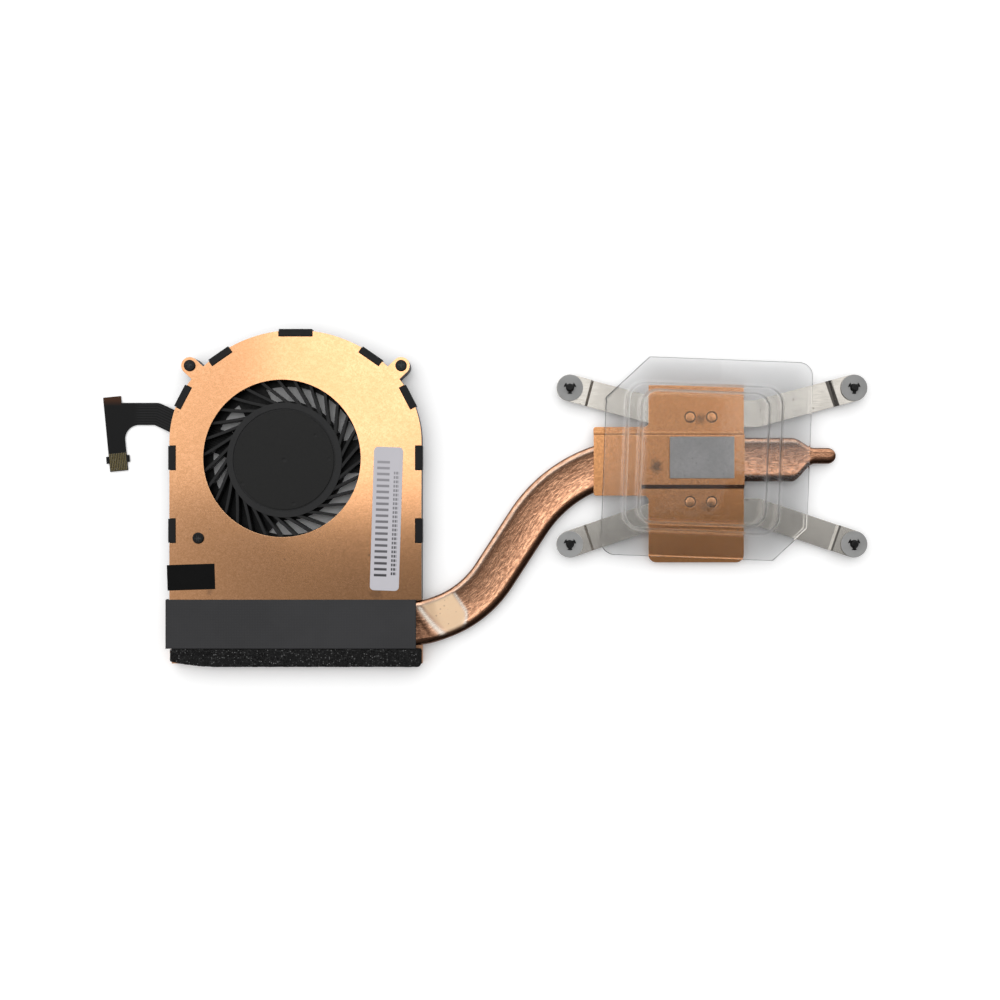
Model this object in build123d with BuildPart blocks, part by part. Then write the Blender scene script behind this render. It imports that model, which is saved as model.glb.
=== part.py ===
from build123d import *
import math
import os

os.makedirs("parts", exist_ok=True)

# Laptop cooler: blower, fins, flat heat pipe and cold plate, in millimetres.
# The origin is the fan's spin axis on the underside, with the intake facing +Z.

# Fan body outline
body_width = 72.0
body_centre_x = 3.3
crown_top_y = 37.1
shoulder_inset = 7.4
shoulder_lean = 41.6
outlet_y = -39.9
fan_height = 5.2
cover_sheet = 0.4
floor_thickness = 0.6
wall_thickness = 1.6
intake_radius = 22.5
intake_x = -0.55
intake_y = 0.45
cut_overrun = 0.8

# Cover fixings
ear_bearing = 43.7
ear_reach = 2.9
ear_radius = 2.45
floor_screw_inset = 8.3
floor_screw_rise = 17.6
screw_head_radius = 1.65
screw_head_height = 0.55
screw_crown_share = 0.6
screw_shank_radius = 0.7
screw_shank_length = 3.0
screw_hole_clearance = 0.12
recess_width = 0.38
recess_span = 1.9
recess_depth = 0.3
tab_length = 6.8
crown_tab_length = 9.5
crown_tab_bearing = 55.3
shoulder_tab_bearing = 27.4
upper_tab_y = 0.6
lower_tab_y = -20.2
tab_depth = 2.0
tab_proud = 0.3
tab_rise = 0.1
notch_clearance = 0.15

# Motor and impeller
rotor_side_gap = 3.8
blade_count = 31
blade_thickness = 0.8
blade_start = 3.4
blade_sweep_mid = 19.5
blade_sweep_tip = 27.0
blade_floor_gap = 0.5
blade_cover_gap = 0.45
blade_root_sink = 0.3
tip_ring_inset = 0.3
tip_ring_width = 0.6
tip_ring_height = 0.4
hub_radius = 16.45
hub_wall = 0.9
hub_plate = 0.55
hub_top_drop = 0.7
hub_groove_radius = 14.15
hub_groove_width = 0.6
hub_groove_depth = 0.25
cup_fit = 0.05
cup_sheet = 0.4
cup_rim_gap = 0.1
magnet_gap = 0.2
magnet_thickness = 1.4
magnet_height = 1.8
air_gap = 0.4
stator_height = 1.2
stator_drop = 0.75
stator_ring_width = 1.6
tooth_count = 6
tooth_width = 1.8
tooth_shoe_height = 0.9
tooth_shoe_width = 9.0
coil_build = 0.35
coil_round_share = 0.8
coil_end_gap = 0.2
boss_wall = 0.8
sleeve_wall = 1.1
shaft_radius = 1.0
shaft_end_radius = 0.4
bearing_clearance = 0.03
thrust_pad_thickness = 0.15
boss_height = 2.7
board_thickness = 0.3
board_radius = 12.6
board_bore_gap = 0.3
scroll_clearance = 1.3
tongue_start = 183.0
tongue_nose = 233.0
tongue_heel = 4.5
lower_intake_radius = 21.5
motor_seat_radius = 17.2
strut_bearings = (3.5, 118.8, 163.2, 229.0)
strut_widths = (9.5, 9.0, 6.1, 19.0)

# Flexible circuit: ribbon out of the left wall and a leg with the contacts
flex_thickness = 0.12
flex_width = 6.4
flex_lean = 24.5
flex_bend_x = -37.9
flex_bend_y = 13.55
flex_leg_x = -50.9
flex_leg_width = 5.2
flex_leg_top = 18.5
flex_leg_length = 21.6
flex_leg_tilt = 5.5
flex_heel_radius = 4.0
flex_slot_clearance = 0.3
flex_drop_run = 4.0
flex_hub_reach = 10.0
flex_exit_gap = 0.3
stiffener_thickness = 0.15
stiffener_length = 6.0
latch_bump = 0.8
latch_bump_length = 2.0
latch_bump_drop = 3.4
contact_count = 10
contact_pitch = 0.5
contact_width = 0.32
contact_length = 5.0
contact_end_gap = 0.15
contact_thickness = 0.04

# Fins, heat pipe and coverings
fin_gap_to_fan = 0.3
fin_depth = 18.3
fin_height = 2.5
fin_base_z = 0.25
fin_pitch = 1.2
fin_sheet = 0.2
pipe_width = 12.6
pipe_thickness = 2.4
pipe_wall = 0.3
pipe_edge_radius = 1.0
pipe_start_inset = 1.3
pipe_fin_gap = 0.7
pipe_slope = 57.0
pipe_plate_y = 0.2
pipe_first_corner_x = 51.0
first_bend_radius = 30.0
second_bend_radius = 39.7
pipe_body_end_x = 145.5
pipe_neck_length = 6.0
pipe_tip_width = 4.6
pipe_tip_length = 7.0
pipe_tip_offset = 1.1
tip_pinch = 0.1
tip_root = 1.0
joggle_gap = 0.9
joggle_run = 4.2
joggle_drop = 1.9
joggle_radius = 3.0
tape_thickness = 0.1
tape_right_inset = 1.6
tape_overhang = 1.1
tape_fold = 2.6
tape_margin = 0.7
foam_depth = 5.3
foam_height = 2.8
foam_gap = 0.05

# Cold plate, spring brackets and captive screws
plate_sheet = 0.4
plate_left_x = 104.5
plate_right_x = 131.9
plate_top_y = 21.6
plate_bottom_y = -29.4
extension_left_x = 88.6
extension_top_y = 9.6
extension_bottom_y = -10.2
channel_half_width = 7.05
channel_wall_run = 1.2
channel_split_x = 102.3
plate_corner_radius = 2.2
plate_inner_radius = 1.4
extension_corner_radius = 0.7
flap_drop = 1.0
rivet_x = 119.6
rivet_pitch = 6.2
rivet_y = 12.2
rivet_ring_radius = 1.65
rivet_radius = 1.2
rivet_groove_depth = 0.15
pad_width = 15.5
pad_height = 12.0
pad_thickness = 0.8
pad_x = 118.45
pad_y = 0.75
mount_x = 122.6
mount_y = -1.65
mount_spacing_x = 81.6
mount_spacing_y = 44.9
bracket_sheet = 0.5
bracket_width = 7.7
bracket_root = 13.0
bracket_tip_flat = 0.05
upper_arm_slope = 14.8
lower_arm_slope = 18.5
bracket_lift = 0.9
bracket_lift_run = 0.8
bracket_end_flat = 6.2
captive_thread_radius = 1.0
captive_neck_radius = 0.8
captive_clearance = 0.08
captive_head_radius = 2.5
captive_head_height = 1.1
captive_head_z = 0.1
captive_head_chamfer = 0.25
captive_tip = 1.0
captive_tip_chamfer = 0.25
retainer_radius = 3.75
retainer_thickness = 0.4
retainer_gap = 0.1
retainer_bore = 1.8
retainer_grip = 0.02
retainer_teeth = 3
retainer_tooth_start = 90.0
retainer_tooth_width = 1.9
retainer_bite = 0.3

# Clear shipping cap over the pad
cap_sheet = 0.25
cap_x = 119.9
cap_y = 0.5
cap_turn = -2.2
cap_flange_width = 59.0
cap_flange_height = 57.2
cap_big_chamfer = 12.0
cap_small_chamfer = 9.5
cap_corner_radius = 4.0
cap_dome_width = 44.6
cap_dome_height = 42.4
cap_dome_radius = 5.2
cap_flange_shift = 1.1
cap_step_inset_x = 3.2
cap_step_inset_y = 1.3
cap_step_rise = 1.2
cap_wall_lean = 18.0
cap_gap = 0.15

# Labels and tapes on the fan
sticker_thickness = 0.08
label_inset = 10.0
label_rise = 23.1
label_width = 8.3
label_length = 41.0
label_turn = -1.8
label_corner = 1.2
wall_tape_overhang = 0.6
wall_tape_width = 13.6
wall_tape_height = 7.3
wall_tape_rise = 2.8
wall_tape_turn = 1.8

# Places worked out from the sizes above
body_left = body_centre_x - body_width / 2
body_right = body_centre_x + body_width / 2
shoulder_radius = body_width / 2 - shoulder_inset
crown_radius = shoulder_radius + shoulder_inset / math.cos(math.radians(shoulder_lean))
crown_y = crown_top_y - crown_radius
shoulder_y = crown_y + shoulder_inset * math.tan(math.radians(shoulder_lean))
cover_underside = fan_height - cover_sheet
rotor_radius = -body_left - wall_thickness - rotor_side_gap
floor_screw_x = body_left + floor_screw_inset
floor_screw_y = outlet_y + floor_screw_rise
blade_bottom = floor_thickness + blade_floor_gap
blade_height = cover_underside - blade_cover_gap - blade_bottom
hub_top = fan_height - hub_top_drop
cup_top = hub_top - hub_plate
cup_radius = hub_radius - hub_wall - cup_fit
magnet_radius = cup_radius - cup_sheet
cup_bottom = blade_bottom + cup_rim_gap
magnet_top = cup_top - cup_sheet - magnet_gap
stator_radius = magnet_radius - magnet_thickness - air_gap
stator_top = cup_top - stator_drop
stator_bottom = stator_top - stator_height
sleeve_bore = shaft_radius + bearing_clearance
sleeve_radius = sleeve_bore + sleeve_wall
boss_radius = sleeve_radius + boss_wall
stator_ring_radius = boss_radius + stator_ring_width
fin_front_y = outlet_y - fin_gap_to_fan
fin_top = fin_base_z + fin_height
pipe_fin_y = outlet_y - pipe_fin_gap - pipe_width / 2
pipe_start_x = body_left + pipe_start_inset
joggle_start_x = body_right + joggle_gap
pipe_top = fin_top + pipe_thickness
low_pipe_top = pipe_top - joggle_drop
plate_top = low_pipe_top + plate_sheet
flap_top = plate_top - flap_drop
bracket_top = flap_top - plate_sheet
bracket_bottom = bracket_top - bracket_sheet
bracket_end_top = bracket_top + bracket_lift
cap_flange_z = plate_top + cap_gap


def shoulder_centre(side):
    return (body_centre_x + side * shoulder_inset, shoulder_y)


def polar_point(centre, radius, angle):
    turn = math.radians(angle)
    return (centre[0] + radius * math.cos(turn), centre[1] + radius * math.sin(turn))


def outline_location(centre, radius, angle):
    spot = polar_point(centre, radius, angle)
    return Location((spot[0], spot[1], 0), (0, 0, angle - 90))


# Fan outline: straight sides, two shoulder arcs and a crown arc tangent to both
def body_face(inset):
    left = body_left + inset
    right = body_right - inset
    with BuildSketch() as face:
        with BuildLine():
            Polyline((left, shoulder_y), (left, outlet_y), (right, outlet_y), (right, shoulder_y))
            CenterArc(shoulder_centre(1), shoulder_radius - inset, 0, shoulder_lean)
            CenterArc((body_centre_x, crown_y), crown_radius - inset,
                      shoulder_lean, 180 - 2 * shoulder_lean)
            CenterArc(shoulder_centre(-1), shoulder_radius - inset,
                      180 - shoulder_lean, shoulder_lean)
        make_face()
    return face.sketch


ear_spots = [
    polar_point(shoulder_centre(-1), shoulder_radius + ear_reach, 180 - ear_bearing),
    polar_point(shoulder_centre(1), shoulder_radius + ear_reach, ear_bearing),
]
screw_spots = ear_spots + [(floor_screw_x, floor_screw_y)]


def body_with_ears():
    with BuildSketch() as face:
        add(body_face(0))
        with Locations(*ear_spots):
            Circle(ear_radius)
        for spot, bearing in zip(ear_spots, (180 - ear_bearing, ear_bearing)):
            with Locations(Location((spot[0], spot[1], 0), (0, 0, bearing + 180))):
                Rectangle(2 * ear_reach, 2 * ear_radius, align=(Align.MIN, Align.CENTER))
    return face.sketch


# Moulded tabs of the frame, which show in notches along the cover's edge
tab_seats = [(outline_location((body_centre_x, crown_y), crown_radius, 90), crown_tab_length)]
for bearing in (crown_tab_bearing, 180 - crown_tab_bearing):
    tab_seats.append((outline_location((body_centre_x, crown_y), crown_radius, bearing), tab_length))
for side, bearing in ((1, shoulder_tab_bearing), (-1, 180 - shoulder_tab_bearing)):
    tab_seats.append((outline_location(shoulder_centre(side), shoulder_radius, bearing), tab_length))
for tab_y in (upper_tab_y, lower_tab_y):
    tab_seats.append((Location((body_left, tab_y, 0), (0, 0, 90)), tab_length))
    tab_seats.append((Location((body_right, tab_y, 0), (0, 0, -90)), tab_length))


def tab_faces(clearance):
    with BuildSketch() as faces:
        for seat, length in tab_seats:
            with Locations(seat):
                with Locations((0, tab_proud + clearance)):
                    Rectangle(length + 2 * clearance, tab_depth + 2 * clearance,
                              align=(Align.CENTER, Align.MAX))
    return faces.sketch


# Flex ribbon in plan: hub strip through the wall, level run and leg with the contacts
flex_turn = math.radians(flex_lean)
flex_half = flex_width / 2
flex_strip_length = (-flex_bend_x - flex_hub_reach) / math.cos(flex_turn)


def flex_strip(extra):
    with BuildSketch() as strip:
        with Locations(Location((flex_bend_x, flex_bend_y, 0), (0, 0, -flex_lean))):
            Rectangle(flex_strip_length, flex_width + 2 * extra, align=(Align.MIN, Align.CENTER))
            Circle(flex_half + extra)
    return strip.sketch


# Fan housing: floor, walls, scroll tongue, tabs, ears and motor boss in one moulding
with BuildPart() as fan_housing:
    with BuildSketch():
        add(body_with_ears())
    extrude(amount=cover_underside)
    with BuildSketch(Plane.XY.offset(floor_thickness)):
        add(body_face(wall_thickness))
        with Locations((body_centre_x, outlet_y)):
            Rectangle(body_width - 2 * wall_thickness, 2 * (wall_thickness + cut_overrun))
    extrude(amount=fan_height, mode=Mode.SUBTRACT)
    with BuildSketch(Plane.XY.offset(floor_thickness / 2)) as tongue:
        with BuildLine():
            nose = polar_point((0, 0), rotor_radius + scroll_clearance, tongue_nose)
            start = polar_point((0, 0), rotor_radius + scroll_clearance, tongue_start)
            CenterArc((0, 0), rotor_radius + scroll_clearance, tongue_start,
                      tongue_nose - tongue_start)
            Polyline(nose, (body_left + wall_thickness, outlet_y + tongue_heel),
                     (body_left + wall_thickness / 2, outlet_y + tongue_heel),
                     (body_left + wall_thickness / 2, start[1]), start)
        make_face()
    extrude(amount=cover_underside - floor_thickness / 2)
    with BuildSketch(Plane.XY.offset(cover_underside / 2)):
        add(tab_faces(0))
    extrude(amount=fan_height + tab_rise - cover_underside / 2)
    with BuildSketch():
        Circle(lower_intake_radius)
        Circle(motor_seat_radius, mode=Mode.SUBTRACT)
        for bearing, width in zip(strut_bearings, strut_widths):
            Rectangle(2 * lower_intake_radius, width, rotation=bearing,
                      align=(Align.MIN, Align.CENTER), mode=Mode.SUBTRACT)
    extrude(amount=floor_thickness, mode=Mode.SUBTRACT)
    with BuildSketch():
        Circle(boss_radius)
    extrude(amount=boss_height)
    with BuildSketch(Plane.XY.offset(floor_thickness / 2)):
        Circle(sleeve_radius)
    extrude(amount=boss_height, mode=Mode.SUBTRACT)
    with BuildSketch(Plane.XY.offset(cover_underside - screw_shank_length)):
        with Locations(*screw_spots):
            Circle(screw_shank_radius)
    extrude(amount=screw_shank_length, mode=Mode.SUBTRACT)
    with BuildSketch(Plane.XY.offset(floor_thickness)):
        add(flex_strip(flex_slot_clearance))
    extrude(amount=flex_thickness + flex_slot_clearance, mode=Mode.SUBTRACT)

# Copper cover sheet with the intake hole, tab notches and screw holes
with BuildPart() as fan_cover:
    with BuildSketch(Plane.XY.offset(cover_underside)):
        add(body_with_ears())
        with Locations((intake_x, intake_y)):
            Circle(intake_radius, mode=Mode.SUBTRACT)
        add(tab_faces(notch_clearance), mode=Mode.SUBTRACT)
        with Locations(*screw_spots):
            Circle(screw_shank_radius + screw_hole_clearance, mode=Mode.SUBTRACT)
    extrude(amount=cover_sheet)


# Cover screws: domed head with a cross recess, threaded shank into the frame
def cover_screw(spot):
    with BuildPart() as screw:
        with BuildSketch(Plane.XY.offset(fan_height)):
            with Locations(spot):
                Circle(screw_head_radius)
        extrude(amount=screw_head_height)
        fillet(screw.edges().group_by(Axis.Z)[-1], screw_head_height * screw_crown_share)
        with BuildSketch(Plane.XY.offset(fan_height)):
            with Locations(spot):
                Circle(screw_shank_radius)
        extrude(amount=-screw_shank_length)
        with BuildSketch(Plane.XY.offset(fan_height + screw_head_height)):
            with Locations(spot):
                Rectangle(recess_span, recess_width)
                Rectangle(recess_width, recess_span)
        extrude(amount=-recess_depth, mode=Mode.SUBTRACT)
    return screw.part


# Impeller: hub with a ring groove, curved blades and a thin ring near their tips
with BuildSketch() as blade_plan:
    with BuildLine():
        ThreePointArc(
            (hub_radius - blade_root_sink, 0),
            polar_point((0, 0), (hub_radius + rotor_radius) / 2, blade_sweep_mid),
            polar_point((0, 0), rotor_radius, blade_sweep_tip),
        )
    trace(line_width=blade_thickness)

with BuildPart() as impeller:
    with BuildSketch(Plane.XY.offset(blade_bottom)):
        with PolarLocations(0, blade_count, blade_start):
            add(blade_plan.sketch)
    extrude(amount=blade_height)
    with BuildSketch(Plane.XY.offset(blade_bottom)):
        Circle(rotor_radius - tip_ring_inset)
        Circle(rotor_radius - tip_ring_inset - tip_ring_width, mode=Mode.SUBTRACT)
    extrude(amount=tip_ring_height)
    with BuildSketch(Plane.XY.offset(blade_bottom)):
        Circle(hub_radius)
        Circle(hub_radius - hub_wall, mode=Mode.SUBTRACT)
    extrude(amount=hub_top - blade_bottom)
    with BuildSketch(Plane.XY.offset(cup_top)):
        Circle(hub_radius)
    extrude(amount=hub_plate)
    with BuildSketch(Plane.XY.offset(hub_top)):
        Circle(hub_groove_radius + hub_groove_width)
        Circle(hub_groove_radius, mode=Mode.SUBTRACT)
    extrude(amount=-hub_groove_depth, mode=Mode.SUBTRACT)

# Steel rotor cup, ring magnet and shaft
with BuildPart() as rotor_cup:
    with BuildSketch(Plane.XY.offset(cup_bottom)):
        Circle(cup_radius)
    extrude(amount=cup_top - cup_bottom)
    with BuildSketch(Plane.XY.offset(cup_bottom)):
        Circle(magnet_radius)
    extrude(amount=cup_top - cup_sheet - cup_bottom, mode=Mode.SUBTRACT)
    with BuildSketch(Plane.XY.offset(cup_top)):
        Circle(shaft_radius)
    extrude(amount=-cup_sheet, mode=Mode.SUBTRACT)

with BuildPart() as magnet_ring:
    with BuildSketch(Plane.XY.offset(magnet_top)):
        Circle(magnet_radius)
        Circle(magnet_radius - magnet_thickness, mode=Mode.SUBTRACT)
    extrude(amount=-magnet_height)

shaft_bottom = floor_thickness / 2 + thrust_pad_thickness
with BuildPart() as shaft:
    with BuildSketch(Plane.XY.offset(shaft_bottom)):
        Circle(shaft_radius)
    extrude(amount=cup_top - shaft_bottom)
    fillet(shaft.edges().group_by(Axis.Z)[0], shaft_end_radius)

# Bearing sleeve and thrust pad inside the boss
with BuildPart() as bearing_sleeve:
    with BuildSketch(Plane.XY.offset(shaft_bottom)):
        Circle(sleeve_radius)
        Circle(sleeve_bore, mode=Mode.SUBTRACT)
    extrude(amount=boss_height - shaft_bottom)

with BuildPart() as thrust_pad:
    with BuildSketch(Plane.XY.offset(floor_thickness / 2)):
        Circle(sleeve_radius)
    extrude(amount=thrust_pad_thickness)

# Stator: laminated core with shoed teeth, one coil on each tooth
with BuildSketch() as tooth_shoes:
    with PolarLocations(0, tooth_count):
        Rectangle(2 * stator_radius, tooth_shoe_width, align=(Align.MIN, Align.CENTER))
    Circle(stator_radius, mode=Mode.INTERSECT)
    Circle(stator_radius - tooth_shoe_height, mode=Mode.SUBTRACT)

with BuildPart() as stator_core:
    with BuildSketch(Plane.XY.offset(stator_bottom)):
        Circle(stator_ring_radius)
        with PolarLocations(0, tooth_count):
            Rectangle(stator_radius - tooth_shoe_height / 2, tooth_width,
                      align=(Align.MIN, Align.CENTER))
        add(tooth_shoes.sketch)
        Circle(boss_radius, mode=Mode.SUBTRACT)
    extrude(amount=stator_height)


def coil(index):
    start = stator_ring_radius + coil_end_gap
    length = stator_radius - tooth_shoe_height - coil_end_gap - start
    tooth_plane = Plane.XY.offset(stator_bottom - coil_build).rotated((0, 0, index * 360 / tooth_count))
    with BuildPart() as winding:
        with BuildSketch(tooth_plane):
            with Locations((start, 0)):
                Rectangle(length, tooth_width + 2 * coil_build, align=(Align.MIN, Align.CENTER))
        extrude(amount=stator_height + 2 * coil_build)
        fillet(winding.edges().filter_by(Axis((0, 0, 0), tooth_plane.x_dir)), coil_build * coil_round_share)
        with BuildSketch(tooth_plane.offset(coil_build)):
            with Locations((start, 0)):
                Rectangle(length, tooth_width, align=(Align.MIN, Align.CENTER))
        extrude(amount=stator_height, mode=Mode.SUBTRACT)
    return winding.part


# Driver board on the floor round the boss, over the end of the flex ribbon
with BuildPart() as driver_board:
    with BuildSketch(Plane.XY.offset(floor_thickness + flex_thickness)):
        Circle(board_radius)
        Circle(boss_radius + board_bore_gap, mode=Mode.SUBTRACT)
    extrude(amount=board_thickness)

# Flexible circuit: the plan cut out of a thin strip that steps down to the ground
flex_high_x = body_left - flex_exit_gap
flex_low_x = flex_high_x - flex_drop_run
with BuildSketch() as flex_plan:
    add(flex_strip(0))
    with Locations((flex_bend_x, flex_bend_y)):
        Rectangle(flex_bend_x - flex_leg_x, flex_width, align=(Align.MAX, Align.CENTER))
    with Locations(Location((flex_leg_x, flex_leg_top, 0), (0, 0, flex_leg_tilt))):
        Rectangle(flex_leg_width, flex_leg_length, align=(Align.CENTER, Align.MAX))
    heel = (flex_leg_x + flex_leg_width / 2, flex_bend_y - flex_half)
    fillet(flex_plan.vertices().sort_by_distance(heel)[0], flex_heel_radius)
    with Locations(Location((flex_leg_x, flex_leg_top, 0), (0, 0, flex_leg_tilt))):
        with Locations((0, latch_bump_drop - flex_leg_length)):
            Rectangle(flex_leg_width + 2 * latch_bump, latch_bump_length)

with BuildPart() as flex_circuit:
    with BuildSketch(Plane.XZ) as flex_profile:
        with BuildLine():
            Polyline(
                (flex_leg_x - flex_width, stiffener_thickness),
                (flex_low_x, stiffener_thickness),
                (flex_high_x, floor_thickness),
                (0, floor_thickness),
                (0, floor_thickness + flex_thickness),
                (flex_high_x, floor_thickness + flex_thickness),
                (flex_low_x, stiffener_thickness + flex_thickness),
                (flex_leg_x - flex_width, stiffener_thickness + flex_thickness),
                close=True,
            )
        make_face()
    extrude(amount=body_width / 2, both=True)
    with BuildSketch():
        add(flex_plan.sketch)
    extrude(amount=fan_height, mode=Mode.INTERSECT)

with BuildPart() as flex_stiffener:
    with BuildSketch():
        with Locations(Location((flex_leg_x, flex_leg_top, 0), (0, 0, flex_leg_tilt))):
            with Locations((0, -flex_leg_length)):
                Rectangle(flex_leg_width, stiffener_length, align=(Align.CENTER, Align.MIN))
    extrude(amount=stiffener_thickness)


# Gold contact finger on the upper side of the leg's end
def contact(index):
    across = (index - (contact_count - 1) / 2) * contact_pitch
    with BuildPart() as finger:
        with BuildSketch(Plane.XY.offset(stiffener_thickness + flex_thickness)):
            with Locations(Location((flex_leg_x, flex_leg_top, 0), (0, 0, flex_leg_tilt))):
                with Locations((across, contact_end_gap - flex_leg_length)):
                    Rectangle(contact_width, contact_length, align=(Align.CENTER, Align.MIN))
        extrude(amount=contact_thickness)
    return finger.part


# Fin stack: thin upright fins between a folded base and top, soldered into one block
fin_count = int(body_width / fin_pitch) + 1
with BuildPart() as fin_stack:
    with BuildSketch(Plane.XY.offset(fin_base_z), Plane.XY.offset(fin_top - fin_sheet)):
        with Locations((body_centre_x, fin_front_y)):
            Rectangle((fin_count - 1) * fin_pitch + fin_sheet, fin_depth,
                      align=(Align.CENTER, Align.MAX))
    extrude(amount=fin_sheet)
    with BuildSketch(Plane.XY.offset(fin_base_z)):
        with Locations((body_centre_x, fin_front_y - fin_depth / 2)):
            with GridLocations(fin_pitch, 1, fin_count, 1):
                Rectangle(fin_sheet, fin_depth)
    extrude(amount=fin_height)

# Heat pipe: flattened tube, straight over the fins, then two bends and a crimped tip
slope_tangent = math.tan(math.radians(pipe_slope))
pipe_second_corner_x = pipe_first_corner_x + (pipe_plate_y - pipe_fin_y) / slope_tangent


def pipe_plan(inset):
    with BuildSketch() as plan:
        with BuildLine() as route:
            FilletPolyline(
                (pipe_start_x + inset, pipe_fin_y),
                (pipe_first_corner_x, pipe_fin_y),
                (pipe_second_corner_x, pipe_plate_y),
                (pipe_body_end_x - inset, pipe_plate_y),
                radius=[first_bend_radius, second_bend_radius],
            )
        trace(route.line, line_width=pipe_width - 2 * inset)
    return plan.sketch


# Side view of the tube: level on the fins, a step down, level under the cold plate
def pipe_side(inset):
    high_top = pipe_top - inset
    low_top = low_pipe_top - inset
    depth = pipe_thickness - 2 * inset
    step_end = joggle_start_x + joggle_run
    far_end = pipe_body_end_x + pipe_width
    with BuildSketch() as side:
        with BuildLine():
            FilletPolyline(
                (pipe_start_x - pipe_width, high_top),
                (joggle_start_x, high_top),
                (step_end, low_top),
                (far_end, low_top),
                radius=joggle_radius,
            )
            FilletPolyline(
                (pipe_start_x - pipe_width, high_top - depth),
                (joggle_start_x, high_top - depth),
                (step_end, low_top - depth),
                (far_end, low_top - depth),
                radius=joggle_radius,
            )
            Line((pipe_start_x - pipe_width, high_top), (pipe_start_x - pipe_width, high_top - depth))
            Line((far_end, low_top), (far_end, low_top - depth))
        make_face()
    return side.sketch


def pipe_body(inset, edge_radius):
    with BuildPart() as body:
        with BuildSketch(Plane.XZ):
            add(pipe_side(inset))
        extrude(amount=body_width + fin_depth, both=True)
        with BuildSketch():
            add(pipe_plan(inset))
        extrude(amount=2 * fan_height, mode=Mode.INTERSECT)
        fillet(body.edges().filter_by(Axis.Z, reverse=True), edge_radius)
    return body.part


with BuildPart() as heat_pipe:
    add(pipe_body(0, pipe_edge_radius))
    with BuildSketch(Plane.XY.offset(low_pipe_top - pipe_thickness + tip_pinch)) as tip_plan:
        with BuildLine():
            neck_x = pipe_body_end_x - tip_root
            tip_x = pipe_body_end_x + pipe_neck_length
            tip_y = pipe_plate_y + pipe_tip_offset
            shoulder = pipe_width / 2 - pipe_edge_radius
            tip_half = pipe_tip_width / 2
            Spline((neck_x, pipe_plate_y + shoulder), (tip_x, tip_y + tip_half),
                   tangents=[(1, 0), (1, 0)])
            Spline((neck_x, pipe_plate_y - shoulder), (tip_x, tip_y - tip_half),
                   tangents=[(1, 0), (1, 0)])
            Polyline((tip_x, tip_y + tip_half), (tip_x + pipe_tip_length - tip_half, tip_y + tip_half))
            Polyline((tip_x, tip_y - tip_half), (tip_x + pipe_tip_length - tip_half, tip_y - tip_half))
            CenterArc((tip_x + pipe_tip_length - tip_half, tip_y), tip_half, -90, 180)
            Line((neck_x, pipe_plate_y + shoulder), (neck_x, pipe_plate_y - shoulder))
        make_face()
    extrude(amount=pipe_thickness - 2 * tip_pinch)
    add(pipe_body(pipe_wall, pipe_edge_radius / 2), mode=Mode.SUBTRACT)

# Grey tape over the pipe on the fins, folded down at its left end
tape_left_x = body_left - tape_overhang
tape_right_x = body_right - tape_right_inset
tape_front_y = outlet_y
tape_back_y = pipe_fin_y - pipe_width / 2 - tape_margin
with BuildPart() as pipe_tape:
    with BuildSketch(Plane.XY.offset(pipe_top)):
        with Locations((tape_left_x, tape_front_y)):
            Rectangle(tape_right_x - tape_left_x, tape_front_y - tape_back_y,
                      align=(Align.MIN, Align.MAX))
    extrude(amount=tape_thickness)
    with BuildSketch(Plane.XY.offset(pipe_top + tape_thickness)):
        with Locations((tape_left_x, tape_front_y)):
            Rectangle(tape_thickness, tape_front_y - tape_back_y, align=(Align.MIN, Align.MAX))
    extrude(amount=-tape_fold)

# Foam strip on the rest of the fin top
with BuildPart() as foam_strip:
    with BuildSketch(Plane.XY.offset(fin_top)):
        with Locations((body_left, tape_back_y - foam_gap)):
            Rectangle(body_width, foam_depth, align=(Align.MIN, Align.MAX))
    extrude(amount=foam_height)

# Cold plate: thin hat section over the pipe, with wide flaps and a narrow left end
wall_angle = math.atan2(plate_top - flap_top, channel_wall_run)
inner_shift = plate_sheet * math.tan(wall_angle / 2)


def hat_points(half, run, drop, shift):
    upper = [(plate_top_y, flap_top - drop), (half + run - shift, flap_top - drop),
             (half - shift, plate_top - drop)]
    lower = [(shift - half, plate_top - drop), (shift - half - run, flap_top - drop),
             (plate_bottom_y, flap_top - drop)]
    return upper, lower


upper_skin, lower_skin = hat_points(channel_half_width, channel_wall_run, 0, 0)
upper_back, lower_back = hat_points(channel_half_width, channel_wall_run, plate_sheet, inner_shift)
hat_outline = upper_skin + lower_skin + lower_back[::-1] + upper_back[::-1]
ledge_outline = (upper_skin + [(extension_bottom_y, plate_top), (extension_bottom_y, low_pipe_top)]
                 + upper_back[::-1])
rivet_spots = [(rivet_x + side * rivet_pitch / 2, row * rivet_y + pipe_plate_y)
               for side in (-1, 1) for row in (-1, 1)]

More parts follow.
